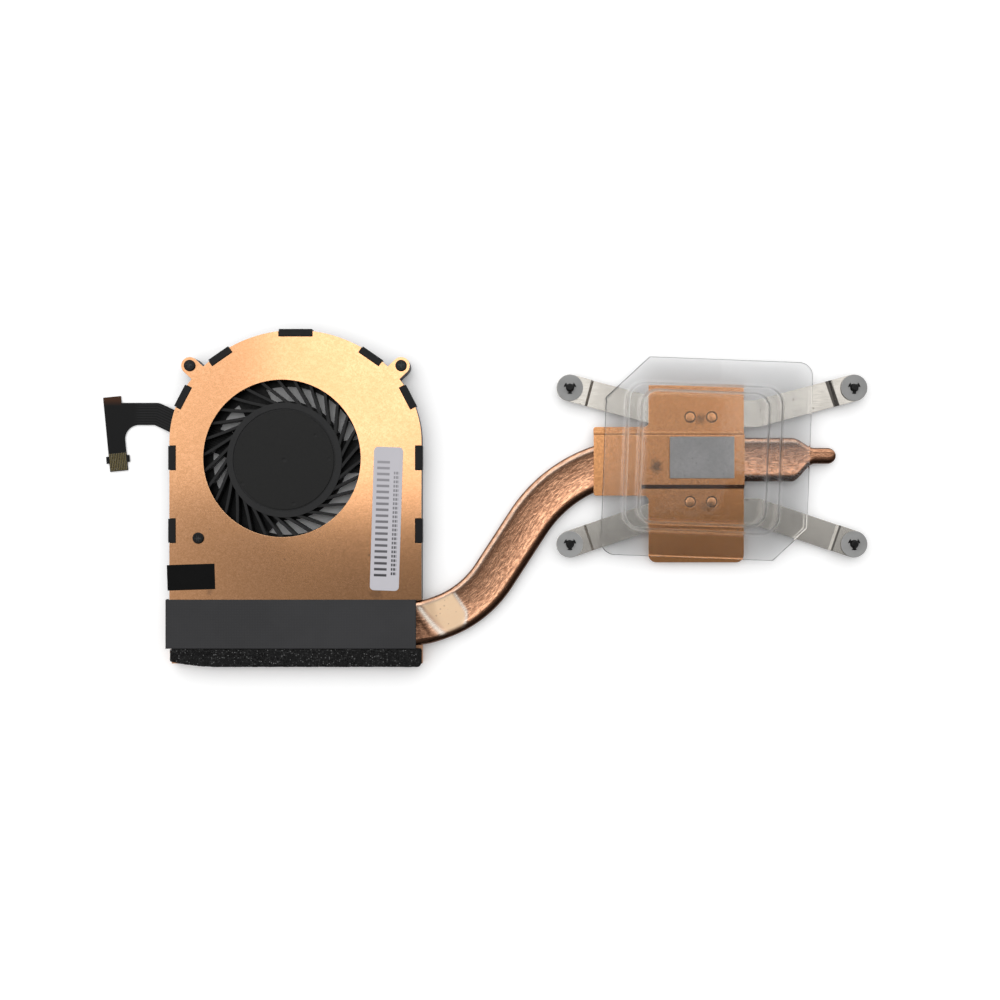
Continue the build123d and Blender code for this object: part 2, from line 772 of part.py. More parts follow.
with BuildPart() as cold_plate:
    with BuildSketch(Plane.YZ.offset(channel_split_x)):
        Polygon(*hat_outline, align=None)
    extrude(amount=plate_right_x - channel_split_x)
    with BuildSketch(Plane.YZ.offset(extension_left_x)):
        Polygon(*ledge_outline, align=None)
    extrude(amount=channel_split_x - extension_left_x)
    with BuildSketch() as plate_plan:
        with Locations((plate_left_x, plate_top_y)):
            Rectangle(plate_right_x - plate_left_x, plate_top_y - plate_bottom_y,
                      align=(Align.MIN, Align.MAX))
        with Locations((extension_left_x, extension_top_y)):
            Rectangle(plate_left_x - extension_left_x, extension_top_y - extension_bottom_y,
                      align=(Align.MIN, Align.MAX))
        fillet(plate_plan.vertices().group_by(Axis.Y)[0], plate_corner_radius)
        inner_corners = [plate_plan.vertices().sort_by_distance((plate_left_x, y))[0]
                         for y in (extension_top_y, extension_bottom_y)]
        fillet(inner_corners, plate_inner_radius)
        fillet(plate_plan.vertices().group_by(Axis.X)[0], extension_corner_radius)
    extrude(amount=2 * fan_height, mode=Mode.INTERSECT)
    with BuildSketch(Plane.XY.offset(flap_top)):
        with Locations(*rivet_spots):
            Circle(rivet_ring_radius)
            Circle(rivet_radius, mode=Mode.SUBTRACT)
    extrude(amount=-rivet_groove_depth, mode=Mode.SUBTRACT)
    with BuildSketch(Plane.XY.offset(bracket_top)):
        with Locations(*rivet_spots):
            Circle(rivet_radius)
    extrude(amount=-bracket_sheet)

# Thermal pad on the channel
with BuildPart() as thermal_pad:
    with BuildSketch(Plane.XY.offset(plate_top)):
        with Locations((pad_x, pad_y)):
            Rectangle(pad_width, pad_height)
    extrude(amount=pad_thickness)


# Spring bracket: level strip under a flap and two arms whose ends step up
def spring_bracket(row, slope):
    hole_y = mount_y + row * mount_spacing_y / 2
    lean = math.radians(slope)
    reach = mount_spacing_x / 2 - bracket_root
    root_y = hole_y - row * reach * math.tan(lean)
    arm_length = reach / math.cos(lean)
    flat_end = arm_length - bracket_end_flat
    with BuildPart() as bracket:
        with BuildSketch(Plane.XY.offset(bracket_bottom)):
            with Locations((mount_x, root_y)):
                Rectangle(2 * bracket_root, bracket_width)
                with Locations((-bracket_root, 0), (bracket_root, 0)):
                    Circle(bracket_width / 2)
        extrude(amount=bracket_sheet)
        for side in (-1, 1):
            direction = (side * math.cos(lean), row * math.sin(lean), 0)
            arm_plane = Plane(
                origin=(mount_x + side * bracket_root, root_y, bracket_bottom),
                x_dir=direction,
                z_dir=(row * math.sin(lean), -side * math.cos(lean), 0),
            )
            up = arm_plane.y_dir.Z
            with BuildSketch(arm_plane):
                with BuildLine():
                    Polyline(
                        (0, 0),
                        (flat_end, 0),
                        (flat_end + bracket_lift_run, up * bracket_lift),
                        (arm_length + bracket_width / 2, up * bracket_lift),
                        (arm_length + bracket_width / 2, up * (bracket_lift + bracket_sheet)),
                        (flat_end + bracket_lift_run, up * (bracket_lift + bracket_sheet)),
                        (flat_end, up * bracket_sheet),
                        (0, up * bracket_sheet),
                        close=True,
                    )
                make_face()
            extrude(amount=bracket_width / 2, both=True)
            tip = Vector(arm_plane.origin) + Vector(direction) * (arm_length + bracket_width / 2)
            corners = bracket.edges().filter_by(Axis.Z).sort_by_distance(tip)[:2]
            fillet(corners, bracket_width / 2 - bracket_tip_flat)
        with BuildSketch(Plane.XY.offset(bracket_bottom)):
            with Locations((mount_x - mount_spacing_x / 2, hole_y), (mount_x + mount_spacing_x / 2, hole_y)):
                Circle(captive_thread_radius + captive_clearance)
            with Locations(*rivet_spots):
                Circle(rivet_radius)
        extrude(amount=2 * bracket_lift + bracket_sheet, mode=Mode.SUBTRACT)
    return bracket.part


# Captive screw: head below the bracket, waisted neck through it and a short threaded end
screw_corners = [(mount_x + side * mount_spacing_x / 2, mount_y + row * mount_spacing_y / 2)
                 for row in (1, -1) for side in (-1, 1)]
retainer_bottom = bracket_end_top + retainer_gap


def captive_screw(spot):
    tip_z = retainer_bottom + retainer_thickness + captive_tip
    with BuildPart() as screw:
        with BuildSketch(Plane.XY.offset(captive_head_z)):
            with Locations(spot):
                Circle(captive_head_radius)
        extrude(amount=captive_head_height)
        chamfer(screw.edges().group_by(Axis.Z)[0], captive_head_chamfer)
        with BuildSketch(Plane.XY.offset(captive_head_z)):
            with Locations(spot):
                Rectangle(recess_span, recess_width)
                Rectangle(recess_width, recess_span)
        extrude(amount=captive_head_height / 2, mode=Mode.SUBTRACT)
        with BuildSketch(Plane.XY.offset(captive_head_z + captive_head_height)):
            with Locations(spot):
                Circle(captive_neck_radius)
        extrude(amount=tip_z - captive_head_z - captive_head_height)
        with BuildSketch(Plane.XY.offset(tip_z - captive_tip)):
            with Locations(spot):
                Circle(captive_thread_radius)
        extrude(amount=captive_tip)
        chamfer(screw.edges().group_by(Axis.Z)[-1], captive_tip_chamfer)
    return screw.part


# Push-on retaining washer: three teeth grip the neck between the bracket and the thread
def retainer(spot):
    with BuildPart() as washer:
        with BuildSketch(Plane.XY.offset(retainer_bottom)):
            with Locations(spot):
                Circle(retainer_radius)
                Circle(retainer_bore, mode=Mode.SUBTRACT)
                with PolarLocations(0, retainer_teeth, retainer_tooth_start):
                    Rectangle(retainer_bore + retainer_bite, retainer_tooth_width,
                              align=(Align.MIN, Align.CENTER))
                Circle(captive_neck_radius + retainer_grip, mode=Mode.SUBTRACT)
        extrude(amount=retainer_thickness)
    return washer.part


# Clear thermoformed cap: flat flange and a dome in two steps over the pad
cap_plane = Plane(origin=(cap_x, cap_y, cap_flange_z),
                  x_dir=(math.cos(math.radians(cap_turn)), math.sin(math.radians(cap_turn)), 0))


def cap_dome(skin):
    taper_inset = math.tan(math.radians(cap_wall_lean)) * cap_step_rise
    with BuildPart() as dome:
        with BuildSketch(cap_plane):
            RectangleRounded(cap_dome_width - 2 * skin, cap_dome_height - 2 * skin,
                             cap_dome_radius - skin)
        extrude(amount=cap_step_rise - skin, taper=cap_wall_lean)
        with BuildSketch(cap_plane.offset(cap_step_rise - skin)):
            RectangleRounded(cap_dome_width - 2 * (skin + taper_inset + cap_step_inset_x),
                             cap_dome_height - 2 * (skin + taper_inset + cap_step_inset_y),
                             cap_dome_radius - skin - taper_inset)
        extrude(amount=cap_step_rise, taper=cap_wall_lean)
    return dome.part


with BuildPart() as protective_cap:
    with BuildSketch(cap_plane) as flange:
        with Locations((cap_flange_shift, 0)):
            Rectangle(cap_flange_width, cap_flange_height)
        corner_order = flange.vertices().group_by(Axis.Y)
        low_left, low_right = corner_order[0].sort_by(Axis.X)
        top_left, top_right = corner_order[-1].sort_by(Axis.X)
        chamfer(top_left, cap_big_chamfer)
        chamfer(low_right, cap_small_chamfer)
        fillet([low_left, top_right], cap_corner_radius)
    extrude(amount=cap_sheet)
    add(cap_dome(0))
    add(cap_dome(cap_sheet), mode=Mode.SUBTRACT)

# Rating label and the small black tape at the cover's lower left
label_spot = (body_right - label_inset, outlet_y + label_rise, 0)
with BuildPart() as rating_label:
    with BuildSketch(Plane.XY.offset(fan_height)):
        with Locations(Location(label_spot, (0, 0, label_turn))):
            RectangleRounded(label_width, label_length, label_corner)
    extrude(amount=sticker_thickness)

wall_tape_x = body_left - wall_tape_overhang + wall_tape_width / 2
wall_tape_y = outlet_y + wall_tape_rise + wall_tape_height / 2
with BuildPart() as wall_tape:
    with BuildSketch(Plane.XY.offset(fan_height)):
        with Locations((wall_tape_x, wall_tape_y)):
            Rectangle(wall_tape_width, wall_tape_height, rotation=wall_tape_turn)
    extrude(amount=sticker_thickness)

# Labels and files, one for each piece
fan_housing.part.label = "fan_housing"
export_step(fan_housing.part, "parts/fan_housing.step")
fan_cover.part.label = "fan_cover"
export_step(fan_cover.part, "parts/fan_cover.step")
impeller.part.label = "impeller"
export_step(impeller.part, "parts/impeller.step")
rotor_cup.part.label = "rotor_cup"
export_step(rotor_cup.part, "parts/rotor_cup.step")
magnet_ring.part.label = "magnet_ring"
export_step(magnet_ring.part, "parts/magnet_ring.step")
shaft.part.label = "shaft"
export_step(shaft.part, "parts/shaft.step")
bearing_sleeve.part.label = "bearing_sleeve"
export_step(bearing_sleeve.part, "parts/bearing_sleeve.step")
thrust_pad.part.label = "thrust_pad"
export_step(thrust_pad.part, "parts/thrust_pad.step")
stator_core.part.label = "stator_core"
export_step(stator_core.part, "parts/stator_core.step")
driver_board.part.label = "driver_board"
export_step(driver_board.part, "parts/driver_board.step")
flex_circuit.part.label = "flex_circuit"
export_step(flex_circuit.part, "parts/flex_circuit.step")
flex_stiffener.part.label = "flex_stiffener"
export_step(flex_stiffener.part, "parts/flex_stiffener.step")
fin_stack.part.label = "fin_stack"
export_step(fin_stack.part, "parts/fin_stack.step")
heat_pipe.part.label = "heat_pipe"
export_step(heat_pipe.part, "parts/heat_pipe.step")
pipe_tape.part.label = "pipe_tape"
export_step(pipe_tape.part, "parts/pipe_tape.step")
foam_strip.part.label = "foam_strip"
export_step(foam_strip.part, "parts/foam_strip.step")
cold_plate.part.label = "cold_plate"
export_step(cold_plate.part, "parts/cold_plate.step")
thermal_pad.part.label = "thermal_pad"
export_step(thermal_pad.part, "parts/thermal_pad.step")
protective_cap.part.label = "protective_cap"
export_step(protective_cap.part, "parts/protective_cap.step")
rating_label.part.label = "rating_label"
export_step(rating_label.part, "parts/rating_label.step")
wall_tape.part.label = "wall_tape"
export_step(wall_tape.part, "parts/wall_tape.step")

repeats = {"upper_bracket": spring_bracket(1, upper_arm_slope),
           "lower_bracket": spring_bracket(-1, lower_arm_slope)}
for number, spot in enumerate(screw_spots, start=1):
    repeats[f"cover_screw_{number}"] = cover_screw(spot)
for number, spot in enumerate(screw_corners, start=1):
    repeats[f"captive_screw_{number}"] = captive_screw(spot)
    repeats[f"retainer_{number}"] = retainer(spot)
for number in range(1, tooth_count + 1):
    repeats[f"coil_{number}"] = coil(number - 1)
for number in range(1, contact_count + 1):
    repeats[f"contact_{number}"] = contact(number - 1)
for name, solid in repeats.items():
    solid.label = name
    export_step(solid, f"parts/{name}.step")
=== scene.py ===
import math

import bpy
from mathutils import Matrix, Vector, noise


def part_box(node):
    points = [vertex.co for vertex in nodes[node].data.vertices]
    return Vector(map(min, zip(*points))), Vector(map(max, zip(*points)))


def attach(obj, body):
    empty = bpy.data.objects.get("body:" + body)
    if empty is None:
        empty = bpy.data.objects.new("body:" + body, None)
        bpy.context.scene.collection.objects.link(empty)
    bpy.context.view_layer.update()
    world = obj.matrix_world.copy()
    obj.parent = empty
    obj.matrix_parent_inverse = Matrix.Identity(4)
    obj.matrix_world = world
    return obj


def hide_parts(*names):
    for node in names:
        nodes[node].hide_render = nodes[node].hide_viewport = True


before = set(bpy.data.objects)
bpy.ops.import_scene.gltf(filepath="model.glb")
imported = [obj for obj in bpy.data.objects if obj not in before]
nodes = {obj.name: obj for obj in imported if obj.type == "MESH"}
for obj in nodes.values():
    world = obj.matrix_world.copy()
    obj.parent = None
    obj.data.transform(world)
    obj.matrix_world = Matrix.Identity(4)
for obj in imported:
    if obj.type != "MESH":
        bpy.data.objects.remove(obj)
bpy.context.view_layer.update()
mm = 0.001  # scene units are metres
print("frame loaded:", len(nodes), "nodes")


# Camera straight above, as in the photograph
cameraSettings = {
    "centre": (61.71, -11.43),  # under the middle of the picture, mm
    "height": 305.0,
    "focusPlane": 5.0,  # the fan cover's height
    "widthSeen": 285.7,  # across the picture on that plane
    "sensor": 36.0,
    "clipStart": 0.01,
}


def makeCamera(settings):
    camera = bpy.data.cameras.new("photoCamera")
    reach = settings["height"] - settings["focusPlane"]
    camera.sensor_width = settings["sensor"]
    camera.lens = settings["sensor"] * reach / settings["widthSeen"]
    camera.clip_start = settings["clipStart"]
    cameraObject = bpy.data.objects.new("photoCamera", camera)
    x, y = settings["centre"]
    cameraObject.location = (x * mm, y * mm, settings["height"] * mm)
    bpy.context.collection.objects.link(cameraObject)
    bpy.context.scene.camera = cameraObject


makeCamera(cameraSettings)
bpy.context.scene.view_settings.view_transform = "Standard"


# Short helpers for shader trees
def putNode(tree, kind, **values):
    made = tree.nodes.new(kind)
    for key, value in values.items():
        setattr(made, key, value)
    return made


def feed(tree, target, socketName, source):
    socket = target.inputs[socketName]
    if isinstance(source, bpy.types.NodeSocket):
        tree.links.new(source, socket)
    else:
        socket.default_value = source


def mathNode(tree, operation, first, second=0.5, clamp=False):
    made = putNode(tree, "ShaderNodeMath", operation=operation, use_clamp=clamp)
    feed(tree, made, 0, first)
    feed(tree, made, 1, second)
    return made.outputs[0]


def share(tree, mask, amount):
    return mathNode(tree, "MULTIPLY", mask, amount)


def opposite(tree, mask):
    return mathNode(tree, "SUBTRACT", 1.0, mask)


def rangeNode(tree, value, low, high, toLow=0.0, toHigh=1.0, smooth=False):
    made = putNode(tree, "ShaderNodeMapRange", interpolation_type="SMOOTHSTEP" if smooth else "LINEAR")
    for label, source in (("Value", value), ("From Min", low), ("From Max", high),
                          ("To Min", toLow), ("To Max", toHigh)):
        feed(tree, made, label, source)
    return made.outputs["Result"]


def mixColour(tree, factor, first, second):
    made = putNode(tree, "ShaderNodeMix", data_type="RGBA")
    feed(tree, made, 0, factor)
    feed(tree, made, 6, first)
    feed(tree, made, 7, second)
    return made.outputs[2]


def mixValue(tree, factor, first, second):
    made = putNode(tree, "ShaderNodeMix", data_type="FLOAT")
    feed(tree, made, 0, factor)
    feed(tree, made, 2, first)
    feed(tree, made, 3, second)
    return made.outputs[0]


def vectorNode(tree, operation, first, second=(0, 0, 0)):
    made = putNode(tree, "ShaderNodeVectorMath", operation=operation)
    feed(tree, made, 0, first)
    feed(tree, made, 1, second)
    return made.outputs


def turnNode(tree, vector, angle, centre=(0, 0, 0)):
    made = putNode(tree, "ShaderNodeVectorRotate", rotation_type="Z_AXIS")
    feed(tree, made, "Vector", vector)
    feed(tree, made, "Angle", angle)
    feed(tree, made, "Center", centre)
    return made.outputs[0]


def noiseNode(tree, vector, scale, detail, distortion=0.0):
    made = putNode(tree, "ShaderNodeTexNoise")
    feed(tree, made, "Vector", vector)
    feed(tree, made, "Scale", scale)
    feed(tree, made, "Detail", detail)
    feed(tree, made, "Distortion", distortion)
    return made.outputs["Fac"]


def splitVector(tree, vector):
    made = putNode(tree, "ShaderNodeSeparateXYZ")
    feed(tree, made, 0, vector)
    return made.outputs


def objectPlace(tree):
    return putNode(tree, "ShaderNodeTexCoord").outputs["Object"]


# Studio: a dim ceiling straight above, a brighter room round it, one broad panel and four weaker ones
studioSettings = {
    "ceiling": (0.18, -0.4),  # straight above, and how it leans to the left
    "ceilingEdge": (0.90, 0.985),  # cosines of the angles from straight up
    "room": 0.84,
    "lean": (-0.46, 0.82),  # the room is brighter to the left and beyond the top of the picture
    "limits": (0.06, 1.6),
    "horizon": (0.0, 0.35, 0.35),  # the room is dimmer near the floor
    "panels": {  # centre and size in metres, facing straight down, and radiance
        "keyPanel": ((-0.05, 0.24, 1.2), (0.44, 0.52), 1.85),
        "leftPanel": ((-0.485, 0.25, 1.2), (0.43, 0.5), 0.66),
        "nearPanel": ((0.215, 0.22, 1.2), (0.09, 0.46), 0.56),
        "farPanel": ((0.32, 0.22, 1.2), (0.12, 0.46), 0.37),
        "rightPanel": ((0.59, 0.255, 1.2), (0.42, 0.45), 1.0),
    },
}


def makePanels(settings):
    for name, (spot, size, radiance) in settings["panels"].items():
        lamp = bpy.data.lights.new(name, "AREA")
        lamp.shape = "RECTANGLE"
        lamp.size, lamp.size_y = size
        lamp.energy = radiance * math.pi * size[0] * size[1]
        lampObject = bpy.data.objects.new(name, lamp)
        lampObject.location = spot
        bpy.context.collection.objects.link(lampObject)


def makeRoom(settings):
    world = bpy.data.worlds.new("studioRoom")
    world.use_nodes = True
    tree = world.node_tree
    heading = splitVector(tree, putNode(tree, "ShaderNodeTexCoord").outputs["Generated"])
    leanX, leanY = settings["lean"]
    lean = mathNode(tree, "ADD", share(tree, heading[0], leanX), share(tree, heading[1], leanY))
    darkest, brightest = settings["limits"]
    room = mathNode(tree, "MAXIMUM", mathNode(tree, "ADD", lean, settings["room"]), darkest)
    room = mathNode(tree, "MINIMUM", room, brightest)
    low, high, dimmest = settings["horizon"]
    room = share(tree, room, rangeNode(tree, heading[2], low, high, dimmest, 1.0, smooth=True))
    level, leanLeft = settings["ceiling"]
    ceiling = mathNode(tree, "ADD", share(tree, heading[0], leanLeft), level)
    blend = mixValue(tree, rangeNode(tree, heading[2], *settings["ceilingEdge"], smooth=True), room, ceiling)
    cameraRay = putNode(tree, "ShaderNodeLightPath").outputs["Is Camera Ray"]
    background = tree.nodes["Background"]
    background.inputs["Color"].default_value = (1, 1, 1, 1)
    feed(tree, background, "Strength", mathNode(tree, "MAXIMUM", blend, cameraRay))
    bpy.context.scene.world = world


makePanels(studioSettings)
makeRoom(studioSettings)
print("camera and studio ready")


# Effects that several finishes share
def newGroup(name, inputs, output):
    group = bpy.data.node_groups.new(name, "ShaderNodeTree")
    for label, value in inputs.items():
        kind = "NodeSocketVector" if isinstance(value, tuple) else "NodeSocketFloat"
        socket = group.interface.new_socket(label, in_out="INPUT", socket_type=kind)
        socket.default_value = value
    group.interface.new_socket(output, in_out="OUTPUT", socket_type="NodeSocketFloat")
    return group, group.nodes.new("NodeGroupInput").outputs, group.nodes.new("NodeGroupOutput")


def buildGrain():
    group, given, result = newGroup(
        "rolledGrain", {"Stretch": (1.0, 1.0, 1.0), "Scale": 900.0, "Turn": 0.0}, "Grain")
    turned = turnNode(group, objectPlace(group), given["Turn"])
    stretched = vectorNode(group, "MULTIPLY", turned, given["Stretch"])[0]
    feed(group, result, "Grain", noiseNode(group, stretched, given["Scale"], 3.0))
    return group


def buildPatches():
    group, given, result = newGroup("handledPatches", {"Scale": 60.0, "Low": 0.42, "High": 0.62}, "Mask")
    cloud = noiseNode(group, objectPlace(group), given["Scale"], 4.0)
    feed(group, result, "Mask", rangeNode(group, cloud, given["Low"], given["High"]))
    return group


# speck mask: dust where a finish makes it darker, painted glints where it makes it lighter
def buildSpecks():
    group, given, result = newGroup("dustAndGlintSpecks", {"Scale": 700.0, "Radius": 0.16, "Amount": 0.3}, "Mask")
    cells = putNode(group, "ShaderNodeTexVoronoi")
    feed(group, cells, "Vector", objectPlace(group))
    feed(group, cells, "Scale", given["Scale"])
    near = mathNode(group, "LESS_THAN", cells.outputs["Distance"], given["Radius"])
    pick = putNode(group, "ShaderNodeSeparateColor")
    feed(group, pick, "Color", cells.outputs["Color"])
    chosen = mathNode(group, "LESS_THAN", pick.outputs[0], given["Amount"])
    feed(group, result, "Mask", share(group, near, chosen))
    return group


# mask of convex edges, where the finishes paint a highlight
def buildEdge():
    group, given, result = newGroup("edgeShine", {"Radius": 0.0003, "Gain": 4.0}, "Mask")
    bevel = putNode(group, "ShaderNodeBevel", samples=4)
    feed(group, bevel, "Radius", given["Radius"])
    surface = putNode(group, "ShaderNodeNewGeometry")
    facing = vectorNode(group, "DOT_PRODUCT", bevel.outputs[0], surface.outputs["Normal"])["Value"]
    away = opposite(group, facing)
    feed(group, result, "Mask", mathNode(group, "MULTIPLY", away, given["Gain"], clamp=True))
    return group


def flatOffset(group, centre):
    offset = vectorNode(group, "SUBTRACT", objectPlace(group), centre)[0]
    return vectorNode(group, "MULTIPLY", offset, (1, 1, 0))[0]


def buildSpot():
    group, given, result = newGroup(
        "roundSpot", {"Centre": (0.0, 0.0, 0.0), "Radius": 0.001, "Soft": 0.0005, "Ragged": 0.0}, "Mask")
    distance = vectorNode(group, "LENGTH", flatOffset(group, given["Centre"]))["Value"]
    cloud = noiseNode(group, objectPlace(group), 700.0, 2.0)
    wander = share(group, mathNode(group, "SUBTRACT", cloud, 0.5), given["Ragged"])
    outer = mathNode(group, "ADD", given["Radius"], given["Soft"])
    reach = mathNode(group, "ADD", distance, wander)
    feed(group, result, "Mask", rangeNode(group, reach, given["Radius"], outer, 1.0, 0.0))
    return group


def buildLine():
    group, given, result = newGroup(
        "creaseLine", {"Centre": (0.0, 0.0, 0.0), "Across": (0.0, 1.0, 0.0), "Width": 0.0005,
                       "Soft": 0.00015, "Reach": 0.01}, "Mask")
    flat = flatOffset(group, given["Centre"])
    away = mathNode(group, "ABSOLUTE", vectorNode(group, "DOT_PRODUCT", flat, given["Across"])["Value"])
    half = share(group, given["Width"], 0.5)
    edge = mathNode(group, "ADD", half, given["Soft"])
    line = rangeNode(group, away, half, edge, 1.0, 0.0, smooth=True)
    near = mathNode(group, "LESS_THAN", vectorNode(group, "LENGTH", flat)["Value"], given["Reach"])
    feed(group, result, "Mask", share(group, line, near))
    return group


effects = {"grain": buildGrain(), "patches": buildPatches(), "specks": buildSpecks(),
           "edge": buildEdge(), "spot": buildSpot(), "line": buildLine()}


def useEffect(tree, effect, **values):
    made = putNode(tree, "ShaderNodeGroup", node_tree=effects[effect])
    for label, value in values.items():
        feed(tree, made, label, value)
    return made.outputs[0]


def readAttribute(tree, label):
    return putNode(tree, "ShaderNodeAttribute", attribute_name=label).outputs["Fac"]


def spotAt(tree, place, radius, soft, ragged=0.0):  # in mm
    return useEffect(tree, "spot", Centre=(place[0] * mm, place[1] * mm, 0.0), Radius=radius * mm,
                     Soft=soft * mm, Ragged=ragged * mm)


def layered(tree, tone, *layers):  # each with its mask, strength and colour
    for mask, amount, colour in layers:
        tone = mixColour(tree, share(tree, mask, amount), tone, colour)
    return tone


def markLines(tree, tone, lines, colour):
    for (x, y), across, width, reach, amount in lines:  # places and lengths in mm
        line = useEffect(tree, "line", Centre=(x * mm, y * mm, 0.0), Across=across + (0.0,),
                         Width=width * mm, Reach=reach * mm)
        tone = layered(tree, tone, (line, amount, colour))
    return tone


def shaderOf(tree):
    return tree.nodes["Principled BSDF"]


def newFinish(name, **constants):
    material = bpy.data.materials.new(name)
    material.use_nodes = True
    for label, value in constants.items():
        shaderOf(material.node_tree).inputs[label.replace("_", " ")].default_value = value
    return material, material.node_tree


def roundedNormal(tree, height, strength, distance, radius=0.00012):
    bevel = putNode(tree, "ShaderNodeBevel", samples=4)
    feed(tree, bevel, "Radius", radius)
    bump = putNode(tree, "ShaderNodeBump")
    feed(tree, bump, "Strength", strength)
    feed(tree, bump, "Distance", distance)
    feed(tree, bump, "Height", height)
    feed(tree, bump, "Normal", bevel.outputs[0])
    return bump.outputs[0]


def finished(material, tone, relief, rough=None):  # relief is a height, strength, distance and radius
    tree = material.node_tree
    feed(tree, shaderOf(tree), "Base Color", tone)
    feed(tree, shaderOf(tree), "Normal", roundedNormal(tree, *relief))
    if rough is not None:
        feed(tree, shaderOf(tree), "Roughness", rough)
    return material


def scaled(colour, factor):
    return tuple(channel * factor for channel in colour[:3]) + (1,)


def grey(level):
    return level, level, level, 1


def dress(finish, *names):
    for name in names:
        slots = nodes[name].material_slots
        if not slots:
            nodes[name].data.materials.append(finish)
        for slot in slots:
            slot.material = finish


def numbered(stem, count):
    return ["%s_%d" % (stem, index) for index in range(1, count + 1)]


# New mesh piece, which stands for a CAD node where one is named
def meshPiece(name, vertices, faces, finish, node, attributes=None, body="cooler", smooth=True):
    mesh = bpy.data.meshes.new(name)
    mesh.from_pydata([(x * mm, y * mm, z * mm) for x, y, z in vertices], [], faces)
    mesh.polygons.foreach_set("use_smooth", [smooth] * len(mesh.polygons))
    for label, values in (attributes or {}).items():
        layer = mesh.attributes.new(label, "FLOAT", "POINT")
        layer.data.foreach_set("value", values)
    mesh.materials.append(finish)
    piece = bpy.data.objects.new(name, mesh)
    bpy.context.collection.objects.link(piece)
    if node:
        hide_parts(node)
    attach(piece, body)
    return piece


def smoothStep(value, low, high):
    t = min(1.0, max(0.0, (value - low) / (high - low)))
    return t * t * (3 - 2 * t)


def bell(value, centre, reach):
    return math.exp(-((value - centre) / reach) ** 2)


def fadeOut(value, low, high):
    return 1 - smoothStep(value, low, high)


def joinRings(count, size, wrap=False):
    faces = []
    for ring in range(count if wrap else count - 1):
        start, end = ring * size, (ring + 1) % count * size
        for index in range(size):
            after = (index + 1) % size
            faces.append((start + index, start + after, end + after, end + index))
    return faces


# Copper sheet: satin rolled surface with faint grain, handled patches, stains and small marks, with painted
# highlights on edges and rivet discs and painted shade along folds and in rivet grooves
copperBase = {
    # pale colour of the painted highlight on edges and rivet discs
    "edge": (1.0, 0.74, 0.5, 1),
    "patchShare": 0.4,
    "grainShare": 0.6,
    "fineShare": 0.9,
    "speckShare": 0.4,
    "edgeHighlightShare": 0.45,
    "stains": [],  # place, radius and strength
    "rivets": [],
    "lines": [],  # painted shade lines: place, direction across, width, reach and strength
}
coverSettings = {
    **copperBase,
    "bright": (0.9, 0.475, 0.25, 1),
    "dull": (0.69, 0.35, 0.165, 1),
    "stretch": (900.0, 1500.0, 300.0),
    "roughness": 0.135,
    "grainDepth": 0.05,
    "stains": [((-21.0, -37.5), 1.0, 0.35), ((26.5, -38.3), 1.5, 0.3), ((31.5, -20.0), 1.2, 0.2)],
}
plateSettings = {
    **copperBase,
    "bright": (0.9, 0.455, 0.205, 1),
    "dull": (0.62, 0.275, 0.11, 1),
    "stretch": (1500.0, 1000.0, 300.0),
    "roughness": 0.19,
    "grainDepth": 0.04,
    "stains": [((106.5, -1.7), 1.7, 0.8), ((119.6, 12.0), 1.5, 0.6), ((121.6, -13.4), 1.6, 0.35),
               ((101.5, 8.2), 1.2, 0.3)],
    "rivets": [(116.5, 12.4), (122.7, 12.4), (116.5, -12.0), (122.7, -12.0)],
    # painted shade along the channel's lower step and along two folds
    "lines": [((117.1, -7.6), (0.0, 1.0), 0.9, 15.0, 0.9), ((110.2, 7.5), (0.0, 1.0), 0.25, 21.6, 0.6),
              ((117.1, -19.4), (0.0, 1.0), 0.25, 15.0, 0.35)],
}
finSettings = {
    **copperBase,
    "bright": (0.80, 0.45, 0.27, 1),
    "dull": (0.62, 0.32, 0.18, 1),
    # pale colour of the painted edge highlight
    "edge": (0.95, 0.65, 0.45, 1),
    "stretch": (400.0, 900.0, 400.0),
    "roughness": 0.38,
    "grainDepth": 0.1,
}
windingSettings = {
    **copperBase,
    "bright": (0.70, 0.30, 0.12, 1),
    "dull": (0.45, 0.18, 0.07, 1),
    # pale colour of the painted edge highlight
    "edge": (0.8, 0.4, 0.2, 1),
    "stretch": (900.0, 900.0, 9000.0),
    "roughness": 0.35,
    "grainDepth": 0.5,
}
rivetShape = {  # radius and soft edge in mm, and heights for the bump
    "ring": (1.62, 0.14),
    "disc": (1.22, 0.14),
    "dome": (0.0, 1.22),
    "crown": 2.6,
    "groove": 3.0,
}
# darker colour for stains and specks, and for painted shade in the rivet grooves
tarnishAndShade = (0.17, 0.105, 0.075, 1)
# colour of the painted shade along folds
foldShadeBrown = (0.13, 0.05, 0.025, 1)


